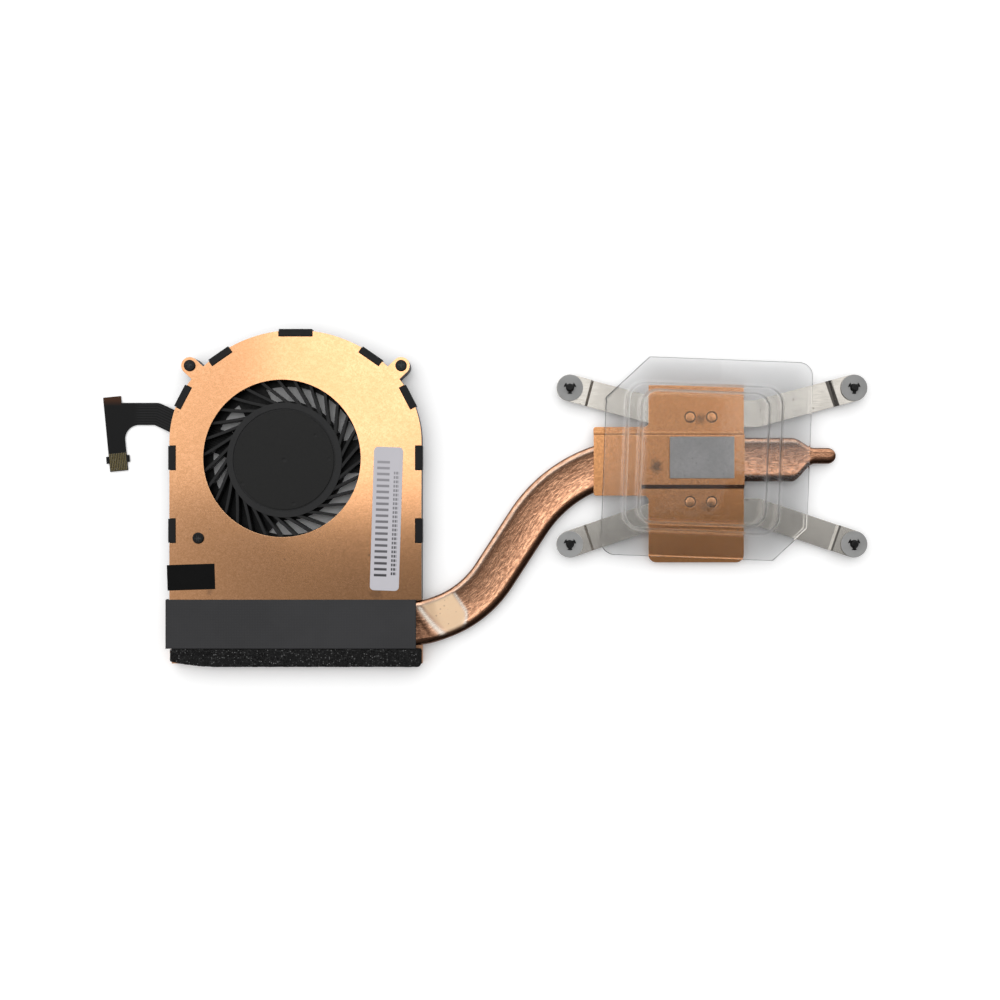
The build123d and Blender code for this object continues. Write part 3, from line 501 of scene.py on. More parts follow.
def copperSheet(name, settings):
    material, tree = newFinish(name, Metallic=1.0)
    grain = useEffect(tree, "grain", Stretch=settings["stretch"], Scale=1.0)
    fine = useEffect(tree, "grain", Scale=2600.0)
    patches = useEffect(tree, "patches", Scale=42.0, Low=0.4, High=0.66)
    specks = useEffect(tree, "specks", Scale=330.0, Radius=0.12, Amount=0.1)
    edge = useEffect(tree, "edge", Radius=0.00022, Gain=3.0)
    dull = settings["dull"]
    tone = layered(tree, settings["bright"], (patches, settings["patchShare"], dull),
                   (rangeNode(tree, grain, 0.38, 0.68), settings["grainShare"], dull),
                   (rangeNode(tree, fine, 0.42, 0.66), settings["fineShare"], dull),
                   (specks, settings["speckShare"], tarnishAndShade))
    for place, radius, amount in settings["stains"]:
        tone = layered(tree, tone, (spotAt(tree, place, radius * 0.4, radius, radius * 2.0), amount, tarnishAndShade))
    # painted shade along folds
    tone = markLines(tree, tone, settings["lines"], foldShadeBrown)
    # painted highlight on edges
    tone = layered(tree, tone, (edge, settings["edgeHighlightShare"], settings["edge"]))
    rough = rangeNode(tree, grain, 0.2, 0.8, settings["roughness"] - 0.006, settings["roughness"] + 0.01)
    rough = mathNode(tree, "ADD", rough, share(tree, patches, 0.02))
    relief = share(tree, mathNode(tree, "ADD", grain, share(tree, fine, 0.6)), settings["grainDepth"])
    for place in settings["rivets"]:
        ring, disc, dome = (spotAt(tree, place, *rivetShape[part]) for part in ("ring", "disc", "dome"))
        groove = mathNode(tree, "SUBTRACT", ring, disc)
        # painted shade in each rivet's groove and painted highlight on its disc
        tone = layered(tree, tone, (groove, 0.8, tarnishAndShade), (disc, 0.1, settings["edge"]))
        crown = share(tree, mathNode(tree, "POWER", dome, 0.5), rivetShape["crown"])
        crown = mathNode(tree, "SUBTRACT", crown, share(tree, groove, rivetShape["groove"]))
        relief = mathNode(tree, "ADD", relief, crown)
    return finished(material, tone, (relief, 1.0, 0.00002), rough)


# Plastics, steel, tape and film
def mouldedPlastic(name, colour, roughness, gloss=0.3, grainScale=1400.0, lines=()):
    material, tree = newFinish(name, Specular_IOR_Level=gloss)
    grain = useEffect(tree, "grain", Scale=grainScale)
    patches = useEffect(tree, "patches", Scale=110.0)
    edge = useEffect(tree, "edge", Radius=0.00015)
    # lighter patches, and a painted highlight on edges
    tone = layered(tree, colour, (patches, 0.5, scaled(colour, 1.5)), (edge, 0.5, scaled(colour, 3.0)))
    # lines get a painted highlight
    tone = markLines(tree, tone, lines, scaled(colour, 11.0))
    rough = rangeNode(tree, grain, 0.3, 0.7, roughness - 0.06, roughness + 0.08)
    return finished(material, tone, (grain, 0.25, 0.00002), rough)


steelSettings = {
    "streak": (300.0, 2600.0, 400.0),
    "dark": 0.72,  # share of the steel's own colour
    "speck": (0.22, 0.2, 0.17, 1),
    # colour of the painted highlight on edges
    "edge": (0.9, 0.89, 0.86, 1),
    # colour of the painted shade along folds
    "foldShade": (0.05, 0.045, 0.04, 1),
}


def springSteel(name, colour, turn=0.0, roughness=0.22, lines=()):
    settings = steelSettings
    material, tree = newFinish(name, Metallic=1.0)
    streak = useEffect(tree, "grain", Stretch=settings["streak"], Turn=turn, Scale=1.0)
    patches = useEffect(tree, "patches", Scale=160.0, Low=0.4, High=0.7)
    specks = useEffect(tree, "specks", Scale=520.0, Radius=0.17, Amount=0.14)
    edge = useEffect(tree, "edge", Radius=0.00018)
    dark = scaled(colour, settings["dark"])
    # streaks, patches and specks, with a painted highlight on edges
    tone = layered(tree, colour, (rangeNode(tree, streak, 0.4, 0.75), 0.4, dark), (patches, 0.45, dark),
                   (specks, 0.5, settings["speck"]), (edge, 0.25, settings["edge"]))
    # lines are painted shade
    tone = markLines(tree, tone, lines, settings["foldShade"])
    rough = rangeNode(tree, streak, 0.3, 0.75, roughness, roughness + 0.05)
    return finished(material, tone, (streak, 0.2, 0.00002), rough)


tapeSettings = {
    "colour": (0.037, 0.037, 0.039, 1),
    "threads": 420.0,
    "creaseScale": (30.0, 90.0, 30.0),
    "creaseTurn": 0.3,
}


def wovenTape(settings):
    material, tree = newFinish("greyTape", Specular_IOR_Level=0.2, Roughness=0.7)
    waves = []
    for direction in ("X", "Y"):
        wave = putNode(tree, "ShaderNodeTexWave", bands_direction=direction)
        feed(tree, wave, "Vector", objectPlace(tree))
        feed(tree, wave, "Scale", settings["threads"])
        feed(tree, wave, "Distortion", 0.5)
        waves.append(wave.outputs["Fac"])
    threads = share(tree, *waves)
    patches = useEffect(tree, "patches", Scale=55.0)
    crease = useEffect(tree, "grain", Stretch=settings["creaseScale"], Turn=settings["creaseTurn"], Scale=1.0)
    pale = scaled(settings["colour"], 1.45)
    tone = layered(tree, settings["colour"], (threads, 0.35, pale), (patches, 0.35, pale))
    height = mathNode(tree, "ADD", share(tree, threads, 0.12), share(tree, crease, 1.5))
    return finished(material, tone, (height, 0.6, 0.00022, 0.0004))


filmSettings = {
    "flat": (0.95, 0.952, 0.954, 1),
    "bent": (1.0, 1.0, 1.0, 1),
    "roughness": (0.03, 0.09),
    "clouded": 0.36,  # rougher where the film is bent
}


def clearFilm(settings):
    material, tree = newFinish("clearFilm", Transmission_Weight=1.0, IOR=1.46, Coat_Roughness=0.2)
    patches = useEffect(tree, "patches", Scale=40.0)
    bend = readAttribute(tree, "bendShare")
    feed(tree, shaderOf(tree), "Coat Weight", bend)
    smooth = rangeNode(tree, patches, 0.0, 1.0, *settings["roughness"])
    rough = mathNode(tree, "ADD", smooth, share(tree, bend, settings["clouded"]))
    scuff = useEffect(tree, "grain", Scale=260.0)
    tint = mixColour(tree, bend, settings["flat"], settings["bent"])
    return finished(material, tint, (scuff, 0.25, 0.00008, 0.0002), rough)


# Impeller: flat dark hub, paler rim outside the groove, moulded pips
hubSettings = {
    "hub": (0.0088, 0.0088, 0.0085, 1),
    "rim": (0.0175, 0.0175, 0.018, 1),
    "blade": (0.0125, 0.0125, 0.013, 1),
    "grooveRadius": 14.2,
    "hubRadius": 16.45,
    "pips": [((8.9, 7.06), 0.55), ((12.8, 0.3), 0.5), ((-12.0, -6.77), 0.6), ((2.64, -12.5), 0.55),
             ((0.0, 0.0), 0.7)],
}


def impellerPlastic(settings):
    material, tree = newFinish("impellerPlastic", Specular_IOR_Level=0.22)
    grain = useEffect(tree, "grain", Scale=1500.0)
    centre = spotAt(tree, (0, 0), settings["grooveRadius"], 0.3)
    hub = spotAt(tree, (0, 0), settings["hubRadius"], 0.1)
    tone = layered(tree, settings["blade"], (hub, 1.0, settings["rim"]), (centre, 1.0, settings["hub"]))
    height = share(tree, grain, 0.15)
    for place, radius in settings["pips"]:
        pip = spotAt(tree, place, radius * 0.5, radius * 0.5)
        tone = layered(tree, tone, (pip, 0.35, settings["rim"]))
        height = mathNode(tree, "SUBTRACT", height, share(tree, pip, 1.2))
    return finished(material, tone, (height, 0.6, 0.0001), rangeNode(tree, grain, 0.3, 0.7, 0.42, 0.54))


# Flexible circuit: parallel tracks under the cover film, painted paler partly as a painted highlight on their
# ridges, bare brown film at the leg's top
flexSettings = {
    "film": (0.0045, 0.0045, 0.0047, 1),
    "track": (0.016, 0.016, 0.017, 1),
    "brown": (0.055, 0.02, 0.008, 1),
    "bend": (-37.9, 13.55),
    "lean": 24.5,  # degrees, of the run that goes into the fan
    "trackPitch": 0.74,
    "tracksFrom": -44.6,
    "tracksFull": -42.5,
    "brownFrom": (-48.2, 17.1),
}


def fromMiddle(tree, phase):
    step = mathNode(tree, "FRACT", phase)
    return mathNode(tree, "ABSOLUTE", mathNode(tree, "SUBTRACT", step, 0.5))


def flexFilm(settings):
    material, tree = newFinish("flexFilm", Specular_IOR_Level=0.14, Roughness=0.42)
    place = objectPlace(tree)
    bendX, bendY = (value * mm for value in settings["bend"])
    level = splitVector(tree, place)
    leaning = splitVector(tree, turnNode(tree, place, math.radians(settings["lean"]), (bendX, bendY, 0)))
    beyond = rangeNode(tree, level[0], bendX - 0.0003, bendX + 0.0003)
    across = mathNode(tree, "SUBTRACT", mixValue(tree, beyond, level[1], leaning[1]), bendY)
    ridge = fromMiddle(tree, mathNode(tree, "DIVIDE", across, settings["trackPitch"] * mm))
    covered = rangeNode(tree, level[0], settings["tracksFrom"] * mm, settings["tracksFull"] * mm)
    tracks = share(tree, rangeNode(tree, ridge, 0.22, 0.34, 1.0, 0.0, smooth=True), covered)
    brownX, brownY = (value * mm for value in settings["brownFrom"])
    brown = share(tree, rangeNode(tree, level[0], brownX - 0.0001, brownX + 0.0001, 1.0, 0.0),
                  rangeNode(tree, level[1], brownY - 0.0012, brownY + 0.0005))
    # tracks are paler: the traces under the film, with a painted highlight on their ridges
    tone = layered(tree, settings["film"], (tracks, 0.8, settings["track"]), (brown, 1.0, settings["brown"]))
    grain = useEffect(tree, "grain", Scale=900.0)
    height = mathNode(tree, "ADD", tracks, share(tree, grain, 0.25))
    return finished(material, tone, (height, 0.5, 0.00005))


# Printed label: plain even stripes and a column of plain dashes
labelSettings = {
    "paper": (0.60, 0.585, 0.625, 1),
    "ink": (0.03, 0.03, 0.035, 1),
    "centre": (29.3, -16.8),
    "turn": 1.8,  # degrees
    "stripes": ((-3.1, 0.5), (-16.6, 17.4), 1.7, 0.42),  # across, along and pitch in mm, and inked share
    "dashes": ((1.7, 3.2), (-16.4, 13.6), 1.25, 0.62),
    "soft": 0.04,
    "split": (0.75, (0.12, 0.88)),  # the dashes' pitch across, and the inked part of it
    "fade": (-16.0, 16.0, 0.95, 0.45),
}


def printedLabel(settings):
    material, tree = newFinish("labelStock", Specular_IOR_Level=0.3)
    centre = [value * mm for value in settings["centre"]]
    turned = turnNode(tree, objectPlace(tree), math.radians(settings["turn"]), (*centre, 0))
    across, along = (mathNode(tree, "DIVIDE", mathNode(tree, "SUBTRACT", value, middle), mm)
                     for value, middle in zip(splitVector(tree, turned), centre))

    def within(value, limits):
        above = mathNode(tree, "GREATER_THAN", value, limits[0])
        return share(tree, above, mathNode(tree, "LESS_THAN", value, limits[1]))

    marks = []
    for key in ("stripes", "dashes"):
        sideways, lengthways, pitch, inked = settings[key]
        bar = rangeNode(tree, fromMiddle(tree, mathNode(tree, "DIVIDE", along, pitch)),
                        inked / 2 - settings["soft"], inked / 2 + settings["soft"], 1.0, 0.0)
        marks.append(share(tree, bar, share(tree, within(across, sideways), within(along, lengthways))))
    pitch, limits = settings["split"]
    column = mathNode(tree, "FRACT", mathNode(tree, "DIVIDE", across, pitch))
    dashes = share(tree, marks[1], within(column, limits))
    ink = share(tree, mathNode(tree, "MAXIMUM", marks[0], dashes), rangeNode(tree, along, *settings["fade"]))
    patches = useEffect(tree, "patches", Scale=120.0)
    tone = layered(tree, settings["paper"], (patches, 0.25, scaled(settings["paper"], 0.93)),
                   (ink, 1.0, settings["ink"]))
    grain = useEffect(tree, "grain", Scale=1800.0)
    return finished(material, tone, (grain, 0.12, 0.00003), rangeNode(tree, grain, 0.3, 0.7, 0.38, 0.5))


dress(copperSheet("coverCopper", coverSettings), "fan_cover")
dress(copperSheet("plateCopper", plateSettings), "cold_plate")
dress(copperSheet("finCopper", finSettings), "fin_stack")
dress(copperSheet("windingCopper", windingSettings), *numbered("coil", 6))
plasticSettings = {  # colour, roughness, gloss and grain scale, and the pieces
    "housingPlastic": ((0.0055, 0.0055, 0.006, 1), 0.45, 0.2, 1400.0, ["fan_housing"]),
    "washerGrey": ((0.29, 0.29, 0.287, 1), 0.5, 0.35, 1400.0, numbered("retainer", 4)),
    "screwBlack": ((0.005, 0.005, 0.005, 1), 0.3, 0.2, 1400.0, numbered("captive_screw", 4)),
    "magnetBlack": ((0.03, 0.028, 0.028, 1), 0.6, 0.3, 1400.0, ["magnet_ring"]),
    "boardGreen": ((0.02, 0.09, 0.04, 1), 0.35, 0.5, 900.0, ["driver_board"]),
    "blackTape": ((0.0028, 0.0028, 0.0028, 1), 0.5, 0.08, 800.0, ["wall_tape"]),
    "padPlastic": ((0.55, 0.54, 0.5, 1), 0.4, 0.3, 1400.0, ["thrust_pad"]),
    "stiffenerFilm": ((0.12, 0.05, 0.015, 1), 0.35, 0.4, 700.0, ["flex_stiffener"]),
}
plastics = {}
for name, (*values, pieces) in plasticSettings.items():
    plastics[name] = mouldedPlastic(name, *values)
    dress(plastics[name], *pieces)
screwCrossHighlights = [(spot, across, 0.35, 0.95, 0.8) for spot in ((-27.0, 27.1), (33.5, 27.1), (-24.5, -22.3))
                for across in ((1.0, 0.0), (0.0, 1.0))]  # painted highlight in the cross recesses
dress(mouldedPlastic("coverScrewBlack", (0.005, 0.005, 0.005, 1), 0.3, 0.2, lines=screwCrossHighlights),
      *numbered("cover_screw", 3))
armFoldShade = {  # painted shade along the folds at the arms' ends
    "upper": [((157.35, 19.33), (0.947, 0.326), 1.3, 6.5, 0.92)],
    "lower": [((158.35, -22.2), (0.947, -0.326), 0.35, 6.5, 0.85)],
}
dress(springSteel("upperSteel", (0.66, 0.625, 0.57, 1), lines=armFoldShade["upper"]), "upper_bracket")
dress(springSteel("lowerSteel", (0.63, 0.6, 0.55, 1), lines=armFoldShade["lower"]), "lower_bracket")
dress(springSteel("rotorSteel", (0.45, 0.45, 0.45, 1)), "rotor_cup", "shaft", "stator_core")
dress(springSteel("sleeveBronze", (0.45, 0.3, 0.14, 1)), "bearing_sleeve")
dress(springSteel("contactGold", (0.11, 0.085, 0.03, 1), 1.475, 0.25), *numbered("contact", 10))
dress(impellerPlastic(hubSettings), "impeller")
dress(wovenTape(tapeSettings), "pipe_tape")
dress(flexFilm(flexSettings), "flex_circuit")
dress(printedLabel(labelSettings), "rating_label")
print("finishes assigned")


# Heat pipe: flattened tube with a dished, mottled face, a pressed flat beside the fan and a crimped end, with
# painted shade and painted highlight bands on its face
pipeSettings = {
    "start": (-31.4, -46.9),  # all lengths in mm
    "plateLevel": 0.2,
    "firstCorner": 51.0,
    "slope": 57.0,
    "radii": (30.0, 39.7),
    "step": 0.4,
    "width": 12.6,
    "thickness": 2.4,
    "highTop": 5.15,
    "lowTop": 3.25,
    "joggle": (40.0, 45.4),
    "dish": 0.3,
    "dishUnder": 0.15,
    "roundedSides": (1.3, 2.0),  # how far the left and the right side's rounding reaches in
    "mottle": ((0.02, 1.7, 1.1), (0.012, 0.7, 0.42)),  # depth, length along, length across
    "mottleSeeds": {"top": 0.0, "side": 0.0, "under": 7.3},
    "calm": (0.7, 0.85),  # share of the mottle that is gone where clean, and of all relief where pressed
    "valley": (5.0, 1.7, 0.16, 0.3),  # where, half length, depth and lean of the dip beside the tape
    "shadeBand": (4.5, 6.3, 0.95),  # painted shade along the dip: full up to and gone from these, and strength
    "blotch": (0.9, 0.4, 3.1),  # level, depth and seed of the blotches in the painted shade band
    # painted highlight band across the pipe beyond the dip: where and half length
    "highlightBand": (7.0, 0.8),
    "bandSides": (4.2, 5.2),  # where the painted highlight band and the lip fade, from the middle
    "dishShade": ((2.4, 4.4), (4.9, 5.3), 0.5),  # painted shade in the dish near the left side: from and full, full and gone, and strength
    "sideShade": (2.5, 1.4, 0.95),  # painted shade along the right side: from and full at these distances from the right edge, and strength
    "sideHighlight": (1.15, 0.4, 0.34),  # painted highlight along the left side: distance from the left edge, half width and strength
    # painted shade as a thin dark outline at the left edge: from, full and strength
    "rimShade": (0.5, 0.15, 0.9),
    "slant": 0.5,
    "pressed": (7.4, 9.0, 17.2),  # from the first bend's start
    "pressedSides": (4.7, 5.5),
    "cleanEdge": 0.6,
    "pressDepth": 0.14,
    "lipCurve": (0.8, 0.155),  # starts this far right of the middle, and how fast it curves
    "lipSlope": 0.8,
    "lip": (0.1, 0.45, 0.1, 0.9),  # how far past the pressed flat, half length, height and painted highlight strength
    "neck": (145.8, 152.4),
    "tipRadius": 2.3,
    "tipShift": 1.1,
    "tipCentre": 156.2,
    "tipHalfThickness": 1.05,
    "tipRoundness": 0.6,
    "crimp": (149.9, 0.35, 0.09),  # where, half length and height
    "bright": (0.86, 0.465, 0.28, 1),
    "dull": (0.28, 0.12, 0.065, 1),
    "pale": (0.99, 0.75, 0.51, 1),
    # colours of the painted highlight and the painted shade
    "shine": (1.0, 0.93, 0.82, 1),
    "paintedShadeBrown": (0.06, 0.027, 0.016, 1),
}
# attributes kept on the pipe; the last two are painted shade and painted highlight
pipeReadings = ("routeAlong", "routeAcross", "pressedShare", "cleanShare", "paintedShadeShare", "paintedHighlightShare")


def pipeStations(settings):
    turn = math.radians(settings["slope"])
    reach = [radius * math.tan(turn / 2) for radius in settings["radii"]]
    x, y = settings["start"]
    rise = settings["plateLevel"] - y
    runs = [(settings["firstCorner"] - reach[0] - x, 0.0), (settings["radii"][0] * turn, turn),
            (rise / math.sin(turn) - sum(reach), 0.0), (settings["radii"][1] * turn, -turn)]
    heading = along = 0.0
    stations = [(x, y, heading, along)]
    for length, bend in runs:
        count = round(length / settings["step"])
        for _ in range(count):
            heading += bend / count / 2
            x += length / count * math.cos(heading)
            y += length / count * math.sin(heading)
            heading += bend / count / 2
            along += length / count
            stations.append((x, y, heading, along))
    count = round((settings["tipCentre"] - x) / settings["step"])
    tail = [(settings["tipCentre"] - x) * (index + 1) / count for index in range(count)]
    tail += [tail[-1] + settings["tipRadius"] * math.sin(math.radians(angle)) for angle in range(8, 89, 8)]
    stations += [(x + run, y, 0.0, along + run) for run in tail]
    return stations, runs[0][0]


def pipeSection(halfWidth, halfThickness, sides, topSteps=40, underSteps=16):
    left, right = (min(side, halfWidth * 0.6) for side in sides)
    flatLeft, flatRight = halfWidth - left, halfWidth - right
    span = flatLeft + flatRight
    angles = [math.radians(angle) for angle in range(18, 180, 18)]
    points = [(flatLeft - span * index / topSteps, halfThickness, "top") for index in range(topSteps + 1)]
    points += [(-flatRight - right * math.sin(angle), halfThickness * math.cos(angle), "side")
               for angle in angles]
    points += [(span * index / underSteps - flatRight, -halfThickness, "under")
               for index in range(underSteps + 1)]
    points += [(flatLeft + left * math.sin(angle), -halfThickness * math.cos(angle), "side")
               for angle in angles]
    return points, flatLeft, flatRight


def pipeFinish(settings):
    material, tree = newFinish("pipeCopper")
    shader = shaderOf(tree)
    read = {label: readAttribute(tree, label) for label in pipeReadings}
    strip = putNode(tree, "ShaderNodeCombineXYZ")
    feed(tree, strip, "X", share(tree, read["routeAlong"], 0.3))
    feed(tree, strip, "Y", read["routeAcross"])
    dimples = noiseNode(tree, strip.outputs[0], 1.9, 5.0, 0.6)
    patches = useEffect(tree, "patches", Scale=120.0)
    specks = useEffect(tree, "specks", Scale=900.0, Radius=0.25, Amount=0.25)
    unpressed = opposite(tree, read["pressedShare"])
    pits = rangeNode(tree, dimples, 0.36, 0.64)
    low = share(tree, opposite(tree, pits), unpressed)
    bright, dull = settings["bright"], settings["dull"]
    # painted shade and painted highlight from the readings; the highlight also lowers the metalness
    tone = layered(tree, bright, (low, 0.75, dull), (patches, 0.2, dull), (read["cleanShare"], 0.5, bright),
                   (read["pressedShare"], 0.9, settings["pale"]), (read["paintedShadeShare"], 1.0, settings["paintedShadeBrown"]),
                   (read["paintedHighlightShare"], 0.9, settings["shine"]), (specks, 0.3, dull))
    feed(tree, shader, "Base Color", tone)
    rough = rangeNode(tree, pits, 0.0, 1.0, 0.3, 0.22)
    feed(tree, shader, "Roughness", mathNode(tree, "ADD", rough, share(tree, read["pressedShare"], 0.26)))
    feed(tree, shader, "Metallic", opposite(tree, share(tree, read["paintedHighlightShare"], 0.85)))
    bump = putNode(tree, "ShaderNodeBump")
    feed(tree, bump, "Height", share(tree, pits, mathNode(tree, "ADD", share(tree, unpressed, 0.85), 0.15)))
    feed(tree, bump, "Strength", 0.5)
    feed(tree, bump, "Distance", 0.00005)
    feed(tree, shader, "Normal", bump.outputs[0])
    return material


# The flat that a tool pressed beside the fan, and the lip raised at its far end
def pressMarks(settings, bendAlong, across):
    begin, full, end = settings["pressed"]
    curveFrom, curve = settings["lipCurve"]
    lip = end - curve * max(0.0, -across - curveFrom) ** 2
    slant = bendAlong + settings["slant"] * across
    pressed = smoothStep(slant, begin, full) * fadeOut(bendAlong, lip - settings["lipSlope"], lip)
    pressed *= fadeOut(abs(across), *settings["pressedSides"])
    past, reach = settings["lip"][:2]
    ridge = bell(bendAlong, lip + past, reach) * fadeOut(abs(across), *settings["bandSides"])
    return slant, pressed, ridge, fadeOut(bendAlong, full, full + settings["cleanEdge"])


# Painted shade beside the tape, in the dish, on the right side and at the left rim; painted highlight across
# the pipe, on the lip and on the left side
def paintedShadeAndHighlight(settings, along, across, halfWidth, taper, slant, pressed, ridge):
    full, end, strength = settings["shadeBand"]
    level, depth, seed = settings["blotch"]
    blotch = min(1.0, level + depth * noise.noise(Vector((along, across, seed))))
    shades = [strength * fadeOut(slant, full, end) * blotch]
    rising, falling, strength = settings["dishShade"]
    inner = smoothStep(across, *rising) * fadeOut(across, *falling)
    shades.append(strength * (1 - taper) * (1 - pressed) * inner)
    for key, side in (("sideShade", -across), ("rimShade", across)):
        begin, full, strength = settings[key]
        shades.append(strength * smoothStep(side, halfWidth - begin, halfWidth - full))
    where, reach = settings["highlightBand"]
    band = bell(slant, where, reach) * fadeOut(abs(across), *settings["bandSides"])
    where, reach, strength = settings["sideHighlight"]
    side = strength * bell(across, halfWidth - where, reach) * (1 - taper)
    return max(shades), max(band, settings["lip"][3] * ridge, side)


def makePipe(settings):
    stations, bendStart = pipeStations(settings)
    half, tip = settings["thickness"] / 2, settings["tipRadius"]
    drop = settings["highTop"] - settings["lowTop"]
    crimpAt, crimpReach, crimpHeight = settings["crimp"]
    dipAt, dipReach, dipDepth, dipLean = settings["valley"]
    calmClean, calmPressed = settings["calm"]
    vertices, readings = [], []
    for x, y, heading, along in stations:
        taper = smoothStep(x, *settings["neck"])
        halfWidth = settings["width"] / 2 + (tip - settings["width"] / 2) * taper
        halfThickness = half + (settings["tipHalfThickness"] - half) * taper
        past = x - settings["tipCentre"]
        if past > 0:
            halfWidth = math.sqrt(tip ** 2 - past ** 2)
            halfThickness *= (halfWidth / tip) ** settings["tipRoundness"]
        middle = settings["highTop"] - half - drop * smoothStep(x, *settings["joggle"])
        shift = settings["tipShift"] * taper
        crimp = crimpHeight * bell(x, crimpAt, crimpReach)
        section, flatLeft, flatRight = pipeSection(halfWidth, halfThickness, settings["roundedSides"])
        for across, rise, face in section:
            inside = max(0.0, 1 - (across / (flatLeft if across > 0 else flatRight)) ** 2)
            slant, pressed, ridge, clean = pressMarks(settings, along - bendStart, across)
            relief = dipDepth * bell(along - bendStart + dipLean * across, dipAt, dipReach)
            for depth, longways, sideways in settings["mottle"]:
                spot = Vector((along / longways, across / sideways, settings["mottleSeeds"][face]))
                relief += depth * (1 + noise.noise(spot)) * (1 - calmClean * clean)
            relief *= (1 - calmPressed * pressed) * min(1.0, inside * 3)
            if face == "top":
                rise -= settings["dish"] * (1 - taper) * (1 - pressed) * inside + relief
                rise += (crimp + settings["lip"][2] * ridge) * min(1.0, inside * 2)
                rise -= settings["pressDepth"] * pressed
            elif face == "under":
                rise += settings["dishUnder"] * (1 - taper) * inside + relief
            vertices.append((x - across * math.sin(heading), y + shift + across * math.cos(heading),
                             middle + rise))
            # painted shade and painted highlight at this point
            dark, shine = paintedShadeAndHighlight(settings, along, across, halfWidth, taper, slant, pressed, ridge)
            readings.append((along, across, pressed, clean, dark, shine))
    size = len(section)
    faces = joinRings(len(stations), size)
    faces.append(tuple(range(size - 1, -1, -1)))
    faces.append(tuple(range(len(vertices) - size, len(vertices))))
    attributes = dict(zip(pipeReadings, zip(*readings)))
    meshPiece("dishedPipe", vertices, faces, pipeFinish(settings), "heat_pipe", attributes)


makePipe(pipeSettings)
print("pipe made")


# Shipping cap: clear film formed into a rounded dome in two steps over a flat flange
capSettings = {
    "centre": (119.9, 0.5),
    "turn": -2.2,
    "bottom": 3.8,
    "sheet": 0.25,
    "flange": (59.0, 57.2),
    "flangeShift": 1.1,
    "flangeInsets": (0.0, 0.4),
    "flangeCorners": (("round", 4.0), ("chamfer", 12.0), ("round", 4.0), ("chamfer", 9.5)),
    "cornerSteps": 8,
    "dome": (22.3, 21.2, 5.2, 1.2),  # half sizes, corner radius and the least radius
    "levels": [(-1.1, 0.25, 0), (-0.55, 0.27, 0), (-0.2, 0.36, 0), (0.0, 0.55, 0), (0.14, 0.85, 0),
               (0.3, 1.08, 0), (0.55, 1.19, 0), (0.9, 1.2, 0), (0.6, 1.2, 0.62), (0.55, 1.2, 0.86),
               (0.62, 1.27, 0.98), (0.72, 1.5, 1.0), (0.85, 1.85, 1.0), (1.0, 2.15, 1.0), (1.25, 2.31, 1.0),
               (1.7, 2.37, 1.0), (3.0, 2.36, 1.0), (7.0, 2.32, 1.0), (13.0, 2.3, 1.0)],
    "bends": (0, 0.3, 0.8, 1, 1, 1, 0.8, 0.2, 0, 0.2, 0.7, 1, 1, 1, 0.8, 0.3, 0, 0, 0),  # clouded by forming
    "stepInset": (3.2, 1.3),
}


def between(start, end, t):
    return tuple(a + (b - a) * t for a, b in zip(start, end))


def cornerPoints(x, y, start, kind, size, steps):
    inX, inY = x - math.copysign(size, x), y - math.copysign(size, y)
    if kind == "chamfer":
        ends = ((x, inY), (inX, y)) if start in (0, 180) else ((inX, y), (x, inY))
        return [between(*ends, index / steps) for index in range(steps + 1)]
    angles = [math.radians(start + 90 * index / steps) for index in range(steps + 1)]
    return [(inX + size * math.cos(angle), inY + size * math.sin(angle)) for angle in angles]


def outlineLoop(halfX, halfY, corners, steps, shift=0.0):
    quarters = ((1, 1, 0), (-1, 1, 90), (-1, -1, 180), (1, -1, 270))
    arcs = [cornerPoints(signX * halfX, signY * halfY, start, kind, size, steps)
            for (signX, signY, start), (kind, size) in zip(quarters, corners)]
    loop = []
    for arc, following in zip(arcs, arcs[1:] + arcs[:1]):
        loop += arc + [between(arc[-1], following[0], part / steps) for part in range(1, steps)]
    return [(x + shift, y) for x, y in loop]


def makeCap(settings):
    halfX, halfY = (length / 2 for length in settings["flange"])
    steps = settings["cornerSteps"]
    outlines = [(outlineLoop(halfX - inset, halfY - inset, settings["flangeCorners"], steps,
                             settings["flangeShift"]), settings["sheet"])
                for inset in settings["flangeInsets"]]
    domeX, domeY, domeRadius, leastRadius = settings["dome"]
    stepX, stepY = settings["stepInset"]
    for inset, level, stepShare in settings["levels"]:
        corner = ("round", max(leastRadius, domeRadius - inset))
        outlines.append((outlineLoop(domeX - inset - stepX * stepShare, domeY - inset - stepY * stepShare,
                                     (corner,) * 4, steps), level))
    turn = math.radians(settings["turn"])
    centreX, centreY = settings["centre"]
    vertices = [(centreX + x * math.cos(turn) - y * math.sin(turn),
                 centreY + x * math.sin(turn) + y * math.cos(turn), settings["bottom"] + level)
                for outline, level in outlines for x, y in outline]
    size = len(outlines[0][0])
    faces = joinRings(len(outlines), size)
    faces.append(tuple(range(len(vertices) - size, len(vertices))))
    levelBends = [0.0] * len(settings["flangeInsets"]) + list(settings["bends"])
    bends = [float(bend) for bend in levelBends for _ in range(size)]
    cap = meshPiece("formedCap", vertices, faces, clearFilm(filmSettings), "protective_cap",
                    {"bendShare": bends})
    shell = cap.modifiers.new("filmThickness", "SOLIDIFY")
    shell.thickness = settings["sheet"] * mm
    shell.offset = -1.0


makeCap(capSettings)
print("cap made")


